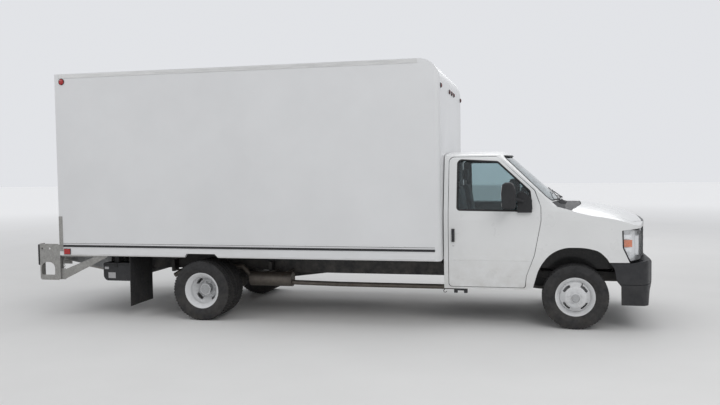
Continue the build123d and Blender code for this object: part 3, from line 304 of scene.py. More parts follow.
def rounded(width, height, radius, steps=5):
    """Rounded rectangle about the middle."""
    points = []
    for cx, cy, start in ((1, 1, 0), (-1, 1, 90), (-1, -1, 180), (1, -1, 270)):
        for k in range(steps + 1):
            turn = math.radians(start + 90 * k / steps)
            points.append((cx * (width / 2 - radius) + radius * math.cos(turn),
                           cy * (height / 2 - radius) + radius * math.sin(turn)))
    return points


# Materials

mask_edge = 0.0006


class Look:
    """A material made of nodes on the object's own coordinates."""

    def __init__(self, name):
        self.material = bpy.data.materials.new(name)
        self.material.use_nodes = True
        self.tree = self.material.node_tree
        self.shader = self.tree.nodes["Principled BSDF"]
        self.place = self.node("TexCoord").outputs["Object"]

    def feed(self, socket, value):
        """Link a node's output into a socket, or set a plain value there."""
        if isinstance(value, bpy.types.NodeSocket):
            self.tree.links.new(value, socket)
        elif socket.type == "RGBA":
            socket.default_value = (*value, 1)[:4]
        else:
            socket.default_value = value

    def fed(self, made, *values):
        for socket, value in zip(made.inputs, values):
            self.feed(socket, value)
        return made

    def node(self, kind, **values):
        """New node: lower-case names are its settings, the others its inputs."""
        made = self.tree.nodes.new("ShaderNode" + kind)
        for name, value in values.items():
            if name[0].islower():
                setattr(made, name, value)
            else:
                self.feed(made.inputs[name.replace("_", " ")], value)
        return made

    def noise(self, scale, detail, rough=0.55, stretch=None):
        place = self.place
        if stretch:
            place = self.node("Mapping", Vector=place, Scale=stretch).outputs["Vector"]
        return self.node("TexNoise", Vector=place, Scale=scale, Detail=detail, Roughness=rough).outputs["Fac"]

    def cells(self, scale, output):
        return self.node("TexVoronoi", Vector=self.place, Scale=scale).outputs[output]

    def waves(self, direction, scale, turn=0, distortion=0.0):
        """Even waves along an axis of the place, which may be turned about Z."""
        place = self.place
        if turn:
            place = self.node("Mapping", Vector=place, Rotation=(0, 0, math.radians(turn))).outputs["Vector"]
        return self.node("TexWave", bands_direction=direction, Vector=place, Scale=scale,
                         Distortion=distortion).outputs["Fac"]

    def remap(self, value, low, high, to_low=0.0, to_high=1.0):
        return self.node("MapRange", Value=value, From_Min=low, From_Max=high, To_Min=to_low,
                         To_Max=to_high).outputs["Result"]

    def uneven(self, least, most, scale, detail, low=0.3, high=0.7, rough=0.55, stretch=None):
        """Number that wanders between two values, with the noise stretched from its low to its high level."""
        return self.remap(self.noise(scale, detail, rough, stretch), low, high, least, most)

    def math(self, kind, *values):
        return self.fed(self.node("Math", operation=kind), *values).outputs[0]

    def vector(self, kind, *values):
        """Vector maths, with a number as the result of a dot product or a length."""
        made = self.fed(self.node("VectorMath", operation=kind), *values)
        return made.outputs["Value" if kind in ("DOT_PRODUCT", "LENGTH") else "Vector"]

    def mix(self, amount, a, b):
        made = self.node("Mix", data_type="RGBA", Factor=amount)
        self.feed(made.inputs[6], a)
        self.feed(made.inputs[7], b)
        return made.outputs[2]

    def mottle(self, a, b, *noise, **levels):
        """Two colours in soft patches; the noise's values are those of uneven."""
        return self.mix(self.uneven(0.0, 1.0, *noise, **levels), a, b)

    def axis(self, name):
        return self.node("SeparateXYZ", Vector=self.place).outputs[name]

    def within(self, *limits):
        """One inside all the limits of (axis, low, high), with edges about a millimetre soft."""
        mask = None
        for name, low, high in limits:
            place = self.math("ABSOLUTE", self.axis("Y")) if name == "side" else self.axis(name)
            for edge, sign in ((low, 1), (high, -1)):
                if edge is not None:
                    part = self.remap(place, edge - mask_edge * sign, edge + mask_edge * sign)
                    mask = part if mask is None else self.math("MULTIPLY", mask, part)
        return mask

    def past(self, point, direction):
        """One on the side of a plane that the direction points to."""
        direction = Vector(direction).normalized()
        level = direction.dot(Vector(point))
        along = self.vector("DOT_PRODUCT", self.place, direction)
        return self.remap(along, level - mask_edge, level + mask_edge)

    def ring_mask(self, centre, radius, soft=0.001):
        """One within a radius of an axle that runs across the truck."""
        flat = self.vector("MULTIPLY", self.vector("SUBTRACT", self.place, centre), (1, 0, 1))
        return self.remap(self.vector("LENGTH", flat), radius + soft, radius - soft)

    def facing(self, centre, least=0.3, soft=0.05):
        """One on faces that look towards the centre."""
        toward = self.vector("NORMALIZE", self.vector("SUBTRACT", centre, self.place))
        match = self.vector("DOT_PRODUCT", toward, self.node("TexCoord").outputs["Normal"])
        return self.remap(match, least, least + soft)

    def dusted(self, base, dust, low, high, most):
        """Base colour with road dust that thins out from the low to the high height."""
        height = self.remap(self.axis("Z"), low, high, most, 0.0)
        patch = self.uneven(0.0, 1.0, 7, 6, 0.35, 0.7, 0.62)
        return self.mix(self.math("MULTIPLY", height, patch), base, dust)

    def set(self, **values):
        """Values or links for the shader's inputs."""
        for name, value in values.items():
            self.feed(self.shader.inputs[name.replace("_", " ")], value)

    def bump(self, *layers):
        """Layers of (height, strength, distance) as the last step of a look; gives its material."""
        normal = None
        for height, strength, distance in layers:
            made = self.node("Bump", Strength=strength, Distance=distance, Height=height)
            if normal is not None:
                self.feed(made.inputs["Normal"], normal)
            normal = made.outputs["Normal"]
        self.set(Normal=normal)
        return self.material


def toned(tone, share, lift=0.0):
    """Colour made darker or paler by a share."""
    return tuple(min(1, c * share + lift) for c in tone)


def paint(name, tone, dust=0.35, gloss=0.28, coat=0.5, lined=None, shade_limits=(), pitch=0.0):
    """Sprayed paint: a slight unevenness of tone, fine orange peel and road dust low down.

    Inside the lined limits, faces that look into the cab have a grained grey lining, and inside each
    of the limits given for shade the colour is painted shade, a mottled black that stands for the shade
    in the wheel housings. A pitch gives shallow ridges across the truck, where bows lie under the sheet.
    """
    look = Look(name)
    base = look.mottle(tone, toned(tone, 0.955), 1.3, 5, 0.35, 0.65)
    base = look.dusted(base, (0.40, 0.365, 0.31), 0.35, 1.0, dust)
    shine = look.uneven(gloss - 0.02, gloss + 0.04, 4, 3)
    black, shade_black_pale = (0.010, 0.010, 0.011), (0.028, 0.026, 0.024)
    # Painted shade: each shade limit gets a mottled near-black that stands in for the shade in a wheel
    # housing
    patches = [(look.within(*limits), look.mottle(black, shade_black_pale, 40, 7, 0.4, 0.7, 0.7), 0.7)
               for limits in shade_limits]
    if lined:
        mask = look.math("MULTIPLY", look.facing(cab_middle), look.within(*lined))
        patches.append((mask, look.mottle((0.15, 0.15, 0.155), (0.175, 0.175, 0.18), 240, 3), 0.75))
    for mask, patch, dull in patches:
        base = look.mix(mask, base, patch)
        shine = look.math("MAXIMUM", shine, look.math("MULTIPLY", mask, dull))
    look.set(Base_Color=base, Roughness=shine, Coat_Weight=coat, Coat_Roughness=0.12)
    layers = [(look.noise(420, 2), 0.025, 0.001), (look.noise(5.0, 2), 0.03, 0.01)]
    if pitch:
        along = look.math("PINGPONG", look.math("MULTIPLY", look.axis("X"), 1 / pitch), 0.5)
        on_top = look.within(("Z", box_top - 0.004, None))
        layers.append((look.math("MULTIPLY", look.remap(along, 0.0, 0.03, 1.0, 0.0), on_top), 0.25, 0.004))
    return look.bump(*layers)


def moulded(name, tone, grain=900, rough=0.55, dust=0.3):
    """Grained plastic."""
    look = Look(name)
    base = look.mottle(tone, toned(tone, 1.15, 0.004), 14, 6, 0.3, 0.75)
    look.set(Base_Color=look.dusted(base, (0.24, 0.22, 0.19), 0.2, 0.9, dust),
             Roughness=look.uneven(rough - 0.08, rough + 0.1, 40, 4))
    return look.bump((look.cells(grain, "Distance"), 0.22, 0.0006), (look.noise(60, 4), 0.06, 0.001))


def rubber(name, tone, dust):
    """Rubber with dust in it and fine marks."""
    look = Look(name)
    base = look.mottle(tone, toned(tone, 1.9), 9, 7, 0.42, 0.75, 0.65)
    look.set(Base_Color=look.dusted(base, (0.17, 0.15, 0.125), 0.0, 0.85, dust),
             Roughness=look.uneven(0.62, 0.86, 30, 5))
    return look.bump((look.noise(260, 6, 0.7), 0.25, 0.001), (look.noise(28, 4), 0.12, 0.002))


def bare_metal(name, tone, rough, metal, cells=0.0, stretch=None, rust=0.0):
    """Bare or galvanised metal, with crystals or brushing and a little rust."""
    look = Look(name)
    base = look.mottle(toned(tone, 0.74), tone, 14, 8, 0.3, 0.72, 0.66, stretch)
    if cells:
        base = look.mix(look.remap(look.cells(cells, "Color"), 0.2, 0.9, 0.0, 0.55), base, toned(tone, 1.25))
    if rust:
        base = look.mix(look.uneven(0.0, rust, 17, 9, 0.60, 0.74, 0.72), base, (0.16, 0.065, 0.028))
    look.set(Base_Color=look.dusted(base, (0.27, 0.24, 0.2), 0.1, 0.8, 0.45), Metallic=metal,
             Roughness=look.uneven(rough - 0.12, rough + 0.16, 35, 7, 0.3, 0.72, 0.7, stretch))
    return look.bump((look.noise(180, 6, 0.7, stretch), 0.12, 0.0012))


def clear(name, tone):
    """Window glass with a thin film of dust."""
    look = Look(name)
    look.set(Base_Color=look.mix(look.uneven(0.0, 0.18, 6, 7, 0.45, 0.8, 0.7), tone, toned(tone, 0.8)),
             Roughness=look.uneven(0.02, 0.07, 12, 6, 0.4, 0.8), Transmission_Weight=1.0, IOR=1.45)
    return look.bump((look.noise(1.4, 1), 0.006, 0.01))


def wheel_paint_with_hub(name, axle, radius):
    """White wheel with a bare cast hub in its middle and brake dust in the corners."""
    look = Look(name)
    base = look.mottle((0.74, 0.745, 0.75), (0.70, 0.705, 0.71), 3, 5, 0.35, 0.65)
    hub = look.ring_mask((axle, 0, axle_z), radius)
    cast = look.mottle((0.34, 0.345, 0.35), (0.48, 0.485, 0.49), 60, 7, 0.35, 0.7, 0.7)
    base = look.mix(look.uneven(0.0, 0.3, 13, 7, 0.50, 0.78, 0.68), base, (0.33, 0.31, 0.28))
    look.set(Base_Color=look.mix(hub, base, cast), Coat_Weight=0.2, Coat_Roughness=0.15,
             Roughness=look.math("ADD", look.uneven(0.28, 0.42, 30, 5), look.math("MULTIPLY", hub, 0.12)))
    return look.bump((look.noise(300, 3), 0.06, 0.001))


def lens(name, tone):
    """Coloured or pale moulded lens with fine flutes."""
    look = Look(name)
    look.set(Base_Color=look.mottle(tone, toned(tone, 0.7), 50, 4), Roughness=look.uneven(0.08, 0.2, 60, 4),
             Transmission_Weight=0.12, IOR=1.49, Coat_Weight=0.6)
    return look.bump((look.waves("Z", 260), 0.3, 0.001))


def silvered(name, flutes):
    """Silvered plastic with upright flutes."""
    look = Look(name)
    look.set(Base_Color=look.mottle((0.93, 0.94, 0.95), (0.86, 0.87, 0.89), 8, 3),
             Roughness=look.uneven(0.16, 0.24, 40, 3), Metallic=0.35)
    return look.bump((look.waves("X", 14, 45), flutes, 0.004))


def woven(name, tone, pitch=950):
    """Seat cloth: crossed threads over soft colour changes."""
    look = Look(name)
    weave = look.math("MAXIMUM", *(look.waves(direction, pitch, distortion=0.6) for direction in ("X", "Z")))
    base = look.mottle(tone, toned(tone, 1.45), 24, 7, 0.35, 0.7, 0.7)
    look.set(Base_Color=look.mix(look.remap(weave, 0.2, 1.0, 0.35, 0.0), base, toned(tone, 0.4)),
             Roughness=look.uneven(0.8, 0.95, 80, 3), Sheen_Weight=0.25, Sheen_Roughness=0.5)
    return look.bump((weave, 0.35, 0.0008), (look.noise(40, 5), 0.15, 0.003))


def boards(name):
    """Hardwood load floor boards that run along the truck, on black sills."""
    look = Look(name)
    seam = look.math("PINGPONG", look.math("MULTIPLY", look.axis("Y"), 7.5), 0.5)
    grain = look.noise(30, 8, 0.65, (0.08, 1.6, 1.6))
    base = look.mix(look.remap(grain, 0.3, 0.7), (0.30, 0.19, 0.105), (0.46, 0.32, 0.19))
    base = look.mix(look.remap(seam, 0.0, 0.02, 0.85, 0.0), base, (0.05, 0.035, 0.025))
    sills = look.mottle((0.030, 0.030, 0.032), (0.065, 0.06, 0.055), 20, 6, 0.35)
    look.set(Base_Color=look.mix(look.within(("Z", 0.888, None)), sills, base),
             Roughness=look.remap(grain, 0.3, 0.7, 0.5, 0.75))
    return look.bump((grain, 0.25, 0.002), (look.remap(seam, 0.0, 0.03), 0.4, 0.003))


def tread_plate(name, tone):
    """Rolled plate with raised diamonds."""
    look = Look(name)
    crossed = look.math("MULTIPLY", *(look.waves("X", 12, turn) for turn in (45, -45)))
    raised = look.remap(crossed, 0.35, 0.6)
    shade = look.mottle(tone, toned(tone, 0.6), 11, 8, 0.35, 0.7, 0.7)
    look.set(Base_Color=look.mix(look.remap(raised, 0.0, 1.0, 0.0, 0.4), shade, toned(tone, 1.4)),
             Roughness=look.uneven(0.35, 0.6, 30, 6), Metallic=0.9)
    return look.bump((raised, 0.5, 0.003), (look.noise(150, 5), 0.12, 0.001))


def lamp_cover(name):
    """Clear headlamp cover with a black band along its edges."""
    look = Look(name)
    inside = look.past((front_axle + 0.516, 0, 1.130), (1, 0, 0.036))
    # The other three edges: the lower bend of the outline, the top and the foot
    for along, height, direction in ((0.523, 0.938, (0.162, 0, 0.075)), (0.68, 1.128, (-0.14, 0, -1)),
                                     (0.582, 0.792, (-0.157, 0, 1))):
        inside = look.math("MULTIPLY", inside, look.past((front_axle + along, 0, height), direction))
    dust = look.uneven(0.0, 0.5, 30, 5, 0.4, 0.75)
    look.set(Base_Color=look.mix(inside, (0.014, 0.014, 0.016), (0.93, 0.95, 0.96)),
             Roughness=look.remap(dust, 0.0, 1.0, 0.03, 0.10), Alpha=look.remap(inside, 0.0, 1.0, 1.0, 0.09),
             IOR=1.5, Coat_Weight=0.3, Coat_Roughness=0.03)
    return look.bump((look.noise(3.0, 2), 0.05, 0.01))


cab_middle = (front_axle - 0.85, 0.0, 1.25)
body_white = (0.80, 0.805, 0.80)
panel_white = (0.79, 0.795, 0.80)
arch_front = front_axle + 0.46
white = paint("white_paint", body_white)
shell_white = paint("shell_paint", body_white,
                    lined=(("side", None, 0.975), ("X", front_axle - 1.46, front_axle - 0.2)))
door_white = paint("door_paint", body_white,
                   lined=(("side", None, 0.985), ("X", front_axle - 1.42, front_axle - 0.40)))
# Painted shade in the two limits: black inside the front wheel housings and on the wings' parts nearer the
# middle
wing_white = paint("wing_paint", body_white, shade_limits=(
    (("side", None, 0.950), ("Z", None, 0.968), ("X", front_axle - 0.56, arch_front)),
    (("side", None, 0.700), ("X", front_axle - 0.7, arch_front)),
))
panel = paint("box_panel", panel_white, dust=0.25, gloss=0.36, coat=0.25)
roof_panel = paint("roof_panel", panel_white, dust=0.2, gloss=0.36, coat=0.25, pitch=0.6)
trim_alloy = bare_metal("trim_alloy", (0.80, 0.80, 0.79), 0.36, 0.35, stretch=(0.3, 6, 6))
plastic = moulded("black_plastic", (0.016, 0.0165, 0.019), dust=0.08)
deep_plastic = moulded("deep_plastic", (0.012, 0.0125, 0.014), dust=0.06)
gloss_plastic = moulded("smooth_plastic", (0.022, 0.022, 0.024), 1500, 0.34, 0.15)
dash_plastic = moulded("dash_plastic", (0.085, 0.086, 0.09), 700, 0.62, 0.0)
lining = moulded("cab_lining", (0.11, 0.11, 0.115), 500, 0.8, 0.3)
frame_black = paint("frame_paint", (0.022, 0.022, 0.024), dust=0.30, gloss=0.55, coat=0.0)
front_wheel = wheel_paint_with_hub("front_wheel_paint", front_axle, 0.047)
rear_wheel = wheel_paint_with_hub("rear_wheel_paint", rear_axle, 0.060)
tyre_rubber = rubber("tyre_rubber", (0.014, 0.014, 0.015), 0.25)
soft_rubber = rubber("soft_rubber", (0.016, 0.016, 0.017), 0.2)
galvanised = bare_metal("galvanised", (0.36, 0.355, 0.34), 0.48, 0.65, cells=55, rust=0.5)
steel = bare_metal("steel", (0.36, 0.35, 0.34), 0.42, 0.9, rust=0.6)
pipe_steel = bare_metal("exhaust_steel", (0.19, 0.17, 0.15), 0.55, 0.8, rust=0.8)
iron = bare_metal("engine_iron", (0.13, 0.13, 0.13), 0.6, 0.6, rust=0.5)
bright = bare_metal("bright_metal", (0.78, 0.78, 0.78), 0.2, 1.0)
plate_grey = bare_metal("plate_grey", (0.50, 0.50, 0.51), 0.45, 0.3)
mirror_face = bare_metal("mirror_face", (0.80, 0.82, 0.83), 0.14, 1.0)
alloy_plate = tread_plate("platform_alloy", (0.36, 0.365, 0.37))
glass = clear("glass", (0.56, 0.67, 0.69))
lamp_silver = silvered("lamp_silver", 0.35)
bowl_silver = silvered("bowl_silver", 0.04)
amber = lens("lens_amber", (0.95, 0.19, 0.004))
red = lens("lens_red", (0.55, 0.006, 0.008))
pale_lens = lens("lens_pale", (0.78, 0.79, 0.80))
dark_lens = lens("lens_dark", (0.16, 0.012, 0.014))
cover = lamp_cover("headlamp_cover")
cloth = woven("seat_fabric", (0.075, 0.078, 0.085))
belt_web = woven("belt_webbing", (0.035, 0.035, 0.037), 1400)
dial_face = moulded("dial_face", (0.05, 0.05, 0.055), 1500, 0.3, 0.0)
grip_plastic = moulded("grip_plastic", (0.035, 0.035, 0.037), 620, 0.5, 0.0)
floor_wood = boards("floor_boards")
stripe_black = moulded("stripe_black", (0.016, 0.016, 0.018), 1600, 0.45, 0.1)

# Looks of the CAD pieces that stay
looks = {
    white: ["hood"],
    shell_white: ["cab_shell"],
    door_white: ["door_left", "door_right"],
    wing_white: ["wings"],
    panel: ["box_sides", "rear_frame", "rollup_door"],
    roof_panel: ["box_roof"],
    plastic: ["front_bumper", "pump_box"],
    deep_plastic: ["mirror_left", "mirror_right", "cowl_panel"],
    gloss_plastic: ["grille"],
    dash_plastic: ["dashboard"],
    lining: ["cab_floor"],
    frame_black: ["frame_rails", "front_axle_beams", "rear_axle", "fuel_tank", "knuckle_left",
                  "knuckle_right"],
    galvanised: ["rear_steps"],
    steel: ["lift_arms"],
    alloy_plate: ["lift_platform"],
    floor_wood: ["box_floor"],
    glass: ["windscreen", "door_glass_left", "door_glass_right"],
    iron: ["engine_block"],
    front_wheel: ["rim_front_left", "rim_front_right"],
    rear_wheel: ["rims_rear_left", "rims_rear_right"],
    pipe_steel: ["exhaust"],
    soft_rubber: ["mud_flaps", "dock_buffers"],
}
for look, nodes in looks.items():
    for node in nodes:
        cad[node].data.materials.clear()
        cad[node].data.materials.append(look)


# Tyres

tread_pitches = 62
pitch_steps = (0.0, 0.06, 0.44, 0.5, 0.56, 0.94)
groove_depth = 0.011
tyre_low, tyre_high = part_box("tyre_front_right")
tyre_radius = (tyre_high.z - tyre_low.z) / 2
tyre_half = (tyre_high.y - tyre_low.y) / 2
# Half of the tyre's section from the bead outwards: across as a share of half width, radius
sidewall = [(0.70, 0.207), (0.74, 0.222), (0.80, 0.2245), (0.86, 0.236), (0.945, 0.262), (0.985, 0.285),
            (0.988, 0.287), (0.985, 0.2885), (0.975, 0.304), (0.955, 0.318), (0.960, 0.3195), (0.95, 0.322),
            (0.925, 0.338), (0.895, 0.350)]
# Half of the tread from the shoulder to the middle: across as a share, drop below the tread, kind
tread = [(0.885, 0.012, ""), (0.865, 0.004, "block"), (0.80, 0.001, "block"), (0.56, 0.0, "block"),
         (0.545, groove_depth, ""), (0.475, groove_depth, ""), (0.46, 0.0, "rib"), (0.14, 0.0, "rib"),
         (0.125, groove_depth, ""), (0.06, groove_depth, ""), (0.045, 0.0, "")]
# Cross cuts in each kind: depth, steps of the pitch on the right half, steps on the left half
cross_cuts = {
    "": (0.0, (), ()),
    "block": (0.008, (0.06, 0.44), (0.56, 0.94)),
    "rib": (0.006, (0.94, 0.0), (0.44, 0.5)),
}


def tyre():
    """Vertices and faces of a tyre about the Y axis, with shoulder blocks, ribs and sidewall rings."""
    half = [(s * tyre_half, r, "") for s, r in sidewall]
    half += [(s * tyre_half, tyre_radius - drop, kind) for s, drop, kind in tread]
    rows = [(-a, r, kind) for a, r, kind in half] + half[::-1]
    n = len(rows)
    verts, faces = [], []
    for pitch in range(tread_pitches):
        for step in pitch_steps:
            turn = 2 * math.pi * (pitch + step) / tread_pitches
            for a, r, kind in rows:
                depth, right_steps, left_steps = cross_cuts[kind]
                if step in (left_steps if a > 0 else right_steps):
                    r -= depth
                verts.append((r * math.sin(turn), a, r * math.cos(turn)))
    count = tread_pitches * len(pitch_steps)
    for k in range(count):
        p, q = k * n, (k + 1) % count * n
        faces += [(p + i, p + i + 1, q + i + 1, q + i) for i in range(n - 1)]
        faces.append((p + n - 1, p, q, q + n - 1))
    return verts, faces


tyre_verts, tyre_faces = tyre()
for side, name in sides[::-1]:
    node = "tyre_front_" + name
    Shape().add(tyre_verts, tyre_faces, Matrix.Translation(middle(node))).make(
        "tread_wheel_front_" + name, tyre_rubber, "wheel_front_" + name, smooth=28, replaces=[node])
for side, name in sides[::-1]:
    node = "tyres_rear_" + name
    low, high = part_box(node)
    twin = Shape()
    for y in (low.y + tyre_half, high.y - tyre_half):
        twin.add(tyre_verts, tyre_faces, Matrix.Translation((rear_axle, y, axle_z)))
    twin.make("tread_wheels_rear_" + name, tyre_rubber, "wheels_rear_" + name, smooth=28, replaces=[node])

# Window rubbers, laid on the door skin along the glass's outline

for side, name in sides:
    door = tree_of("door_" + name)
    pane = cad["door_glass_" + name].data
    outline = swollen(spread(hull([(v.co.x, v.co.z) for v in pane.vertices]), 0.02), 0.003)
    path = [off_side(door, x, z, side, 0.001) for x, z in outline]
    seal = Shape().tube(path, 0.011, 8, True, 0.42, (0, side, 0))
    seal.make("window_rubber_" + name, soft_rubber, "door_" + name, smooth=60)

screen_edge = tree_of("cab_shell", "wings", "cowl_panel")
pane = cad["windscreen"].data
outline = swollen(spread(hull([(v.co.y, v.co.z) for v in pane.vertices]), 0.03), 0.001)
hits = [struck(screen_edge, (front_axle + 2, y, z), (-1, 0, 0)) for y, z in outline]
path = [Vector((hit.x + 0.002, y, z)) for hit, (y, z) in zip(hits, outline) if hit]
Shape().tube(path, 0.009, 8, True, 0.45, (0.66, 0, 0.75)).make("windscreen_rubber", soft_rubber, smooth=60)

# Door handles, lock cylinders and the crease along each door

handle_x = front_axle - 1.375
handle_low = 0.990
handle_high = 1.143
skin_y = 1.014
crease_z = 0.780
for side, name in sides:
    door = tree_of("door_" + name)
    reach = side * (skin_y + 0.0175)
    Shape().box((handle_x - 0.019, side * (skin_y - 0.006), handle_low),
                (handle_x + 0.019, reach, handle_high)).make(
        "door_handle_" + name, gloss_plastic, "door_" + name, bevel=0.007, steps=4)
    Shape().box((handle_x - 0.008, reach - side * 0.001, handle_low + 0.02),
                (handle_x + 0.012, reach + side * 0.003, handle_high - 0.02)).make(
        "handle_paddle_" + name, plastic, "door_" + name, bevel=0.0018, steps=3)
    lock = off_side(door, handle_x, handle_low - 0.045, side, 0)
    Shape().ring([(-0.003, 0.011), (0.002, 0.011), (0.003, 0.0095), (0.001, 0.0085)], 24,
                 turned_to(lock, (0, side, 0))).make("door_lock_" + name, bright, "door_" + name)
    line = [off_side(door, front_axle - 1.415 + 0.05 * k, crease_z, side, 0.0005) for k in range(19)]
    Shape().tube(line, 0.0055, 8, False, 0.5, (0, side, 0)).make(
        "door_crease_" + name, door_white, "door_" + name, smooth=80)

# Stripes, rivets and the light trim along the top and the foot of the box's sides

stripe, trims, rivets = Shape(), Shape(), Shape()
line_z = 0.937
rail_rear = box_low.x + 0.004
rail_front = box_high.x - 0.062
foot_low, foot_high = box_low.z + 0.002, box_low.z + 0.020
# Bands on each side: shape, rear end, front end, low edge, high edge, thickness
bands = (
    (stripe, rail_rear, rail_front, 0.892, 0.920, 0.003),
    (stripe, rail_rear, rail_front, line_z, line_z + 0.003, 0.0012),
    (trims, rail_rear, box_high.x - 0.25, box_top - 0.055, box_top - 0.006, 0.004),
    (trims, rail_rear, rear_axle - 0.215, foot_low, foot_high, 0.003),
    (trims, rear_axle + 0.236, rail_front, foot_low, foot_high, 0.003),
)
rivet_count = 34
rivet_step = (box_high.x - 0.34 - rail_rear) / rivet_count
for side, name in sides:
    face = side * box_high.y
    for shape, rear, front, low, high, thick in bands:
        shape.box((rear, face, low), (front, face + side * thick, high))
    for row, lift in ((box_top - 0.030, 0.004), (box_low.z + 0.165, 0)):
        for k in range(rivet_count):
            rivets.ring([(0, 0.0055), (0.0018, 0.0045), (0.0028, 0.002)], 8,
                        turned_to((rail_rear + 0.06 + k * rivet_step, face + side * lift, row), (0, side, 0)))
stripe.make("side_stripe", stripe_black, bevel=0.0008)
trims.make("box_trim", trim_alloy, bevel=0.0012)
rivets.make("box_rivets", trim_alloy)

# Marker and tail lamps, on the places of the CAD lamps, which are told apart by their joined corners

lamp_mesh = cad["lamps"].data
corner_of = [tuple(round(c, 5) for c in v.co) for v in lamp_mesh.vertices]
neighbours = {}
for p in lamp_mesh.polygons:
    group = [corner_of[i] for i in p.vertices]
    for corner in group:
        neighbours.setdefault(corner, set()).update(group)
islands = []
seen = set()
for start in neighbours:
    if start in seen:
        continue
    island, queue = set(), [start]
    while queue:
        corner = queue.pop()
        if corner not in island:
            island.add(corner)
            queue += neighbours[corner]
    seen |= island
    islands.append(island)

marker_base, marker_red, marker_dark, tail_clear = Shape(), Shape(), Shape(), Shape()
head_lens, head_shell, head_inside = Shape(), Shape(), Shape()
head_islands = []
smallest_headlamp = 0.25
# Lens of a round lamp: height as a share of its depth, radius as a share of its radius
dome = ((0.2, 0.84), (0.62, 0.82), (0.85, 0.66), (0.97, 0.36), (1, 0.08))
for island in islands:
    low, high = (Vector([end(corner[k] for corner in island) for k in range(3)]) for end in (min, max))
    size = high - low
    if size.z > smallest_headlamp:
        head_islands.append((1 if low.y > 0 else -1, island))
        continue
    centre = (low + high) / 2
    thin = min(range(3), key=lambda k: size[k])
    out = Vector((0, 0, 0))
    out[thin] = 1 if centre[thin] > (cad_low[thin] + cad_high[thin]) / 2 else -1
    foot = centre.copy()
    foot[thin] = low[thin] if out[thin] > 0 else high[thin]
    if abs(size.x - size.z) < 0.01 or thin == 0:
        spin = turned_to(foot, out)
        deep = size[thin]
        r = max(size.z, 0.05) / 2
        marker_base.ring([(0, r), (deep * 0.35, r), (deep * 0.45, r * 0.92), (deep * 0.3, r * 0.8)], 40, spin)
        colour = marker_red
        if out.x > 0:
            colour = marker_dark
        elif out.x < 0 and size.z > 0.08 and abs(centre.y) < 0.79:
            colour = tail_clear
        colour.ring([(deep * a, r * b) for a, b in dome], 40, spin)
    else:
        for shape, inset, share in ((marker_base, 0, 0.4), (marker_red, 0.006, 0.95)):
            flat = Matrix.Translation(foot) @ Matrix.Diagonal((1, share, 1, 1)) @ Matrix.Translation(-foot)
            shape.box((low.x + inset, low.y, low.z + inset), (high.x - inset, high.y, high.z - inset), flat)
marker_base.make("marker_bases", soft_rubber, bevel=0.001, replaces=["lamps"])
marker_red.make("marker_lenses", red, bevel=0.002)
marker_dark.make("nose_lenses", dark_lens, smooth=50)
tail_clear.make("reversing_lenses", pale_lens, smooth=50)

# Headlamps: the faces that look out are the lens, with a silver liner behind it, and the rest is the shell

liner_drop = 0.058
for side, island in head_islands:
    for p in lamp_mesh.polygons:
        if corner_of[p.vertices[0]] not in island:
            continue
        corners = [lamp_mesh.vertices[i].co.copy() for i in p.vertices]
        face = list(range(len(corners)))
        if p.normal.x * 0.8 + p.normal.y * side * 0.8 > 0.35 and abs(p.normal.z) < 0.75:
            head_lens.add(corners, [face])
            head_inside.add([c - p.normal * liner_drop for c in corners], [face])
        else:
            head_shell.add(corners, [face])

head_lens = head_lens.welded()
head_inside = head_inside.welded()
lens_tree = BVHTree.FromPolygons(head_lens.verts, head_lens.faces)
liner, bowls = Shape(), Shape()
bowl_y = 0.676
bowl_z = 0.952
bowl_room = 0.104
bowl_radius = 0.092
bezel_reach = bowl_room + 0.004
bowl_line = [(-0.045, 0.014), (-0.043, 0.030), (-0.032, 0.055), (-0.012, 0.078), (0.006, bowl_radius),
             (0.004, bowl_radius + 0.003), (-0.048, 0.014)]
bowl_steps = 48
# The silver liner is open where a square bezel carries one large bowl and its bulb shield
for side, name in sides:
    y_low, y_high = side * bowl_y - bowl_room, side * bowl_y + bowl_room
    this_side = plane("y", 0, -side)
    between = (plane("y", y_low, -1), plane("y", y_high, 1))
    for planes in ([plane("y", y_low, 1)], [plane("y", y_high, -1)],
                   [*between, plane("z", bowl_z - bowl_room, 1)],
                   [*between, plane("z", bowl_z + bowl_room, -1)]):
        part = head_inside.clipped(this_side, *planes)
        liner.add(part.verts, part.faces)
    hit = struck(lens_tree, (front_axle + 2, side * bowl_y, bowl_z), (-1, 0, 0))
    turn = turned_to(hit - Vector((0.040, 0, 0)), (1, side * 0.12, 0))
    bowls.ring(bowl_line, bowl_steps, turn, closed=True)
    bowls.ring([(-0.045, 0.013), (-0.010, 0.013), (-0.002, 0.010), (0.0, 0.004)], 20, turn)
    # Bezel from the bowl's round edge to a square, with walls to the rear
    rows = [[], [], []]
    faces = []
    for k in range(bowl_steps):
        a = 2 * math.pi * k / bowl_steps
        x, y = bowl_radius * math.cos(a), bowl_radius * math.sin(a)
        grow = bezel_reach / max(abs(x), abs(y))
        for row, v in zip(rows, ((x, y, 0.006), (x * grow, y * grow, 0.006), (x * grow, y * grow, -0.05))):
            row.append(v)
        j = (k + 1) % bowl_steps
        faces += [(start + k, start + j, start + bowl_steps + j, start + bowl_steps + k)
                  for start in (0, bowl_steps)]
    bowls.add(sum(rows, []), faces, turn)
thickened(head_lens.make("headlamp_lenses", cover), 0.003)
head_shell.welded().make("headlamp_shells", gloss_plastic)
liner.welded().make("headlamp_liners", lamp_silver)
bowls.make("headlamp_bowls", bowl_silver, smooth=40)
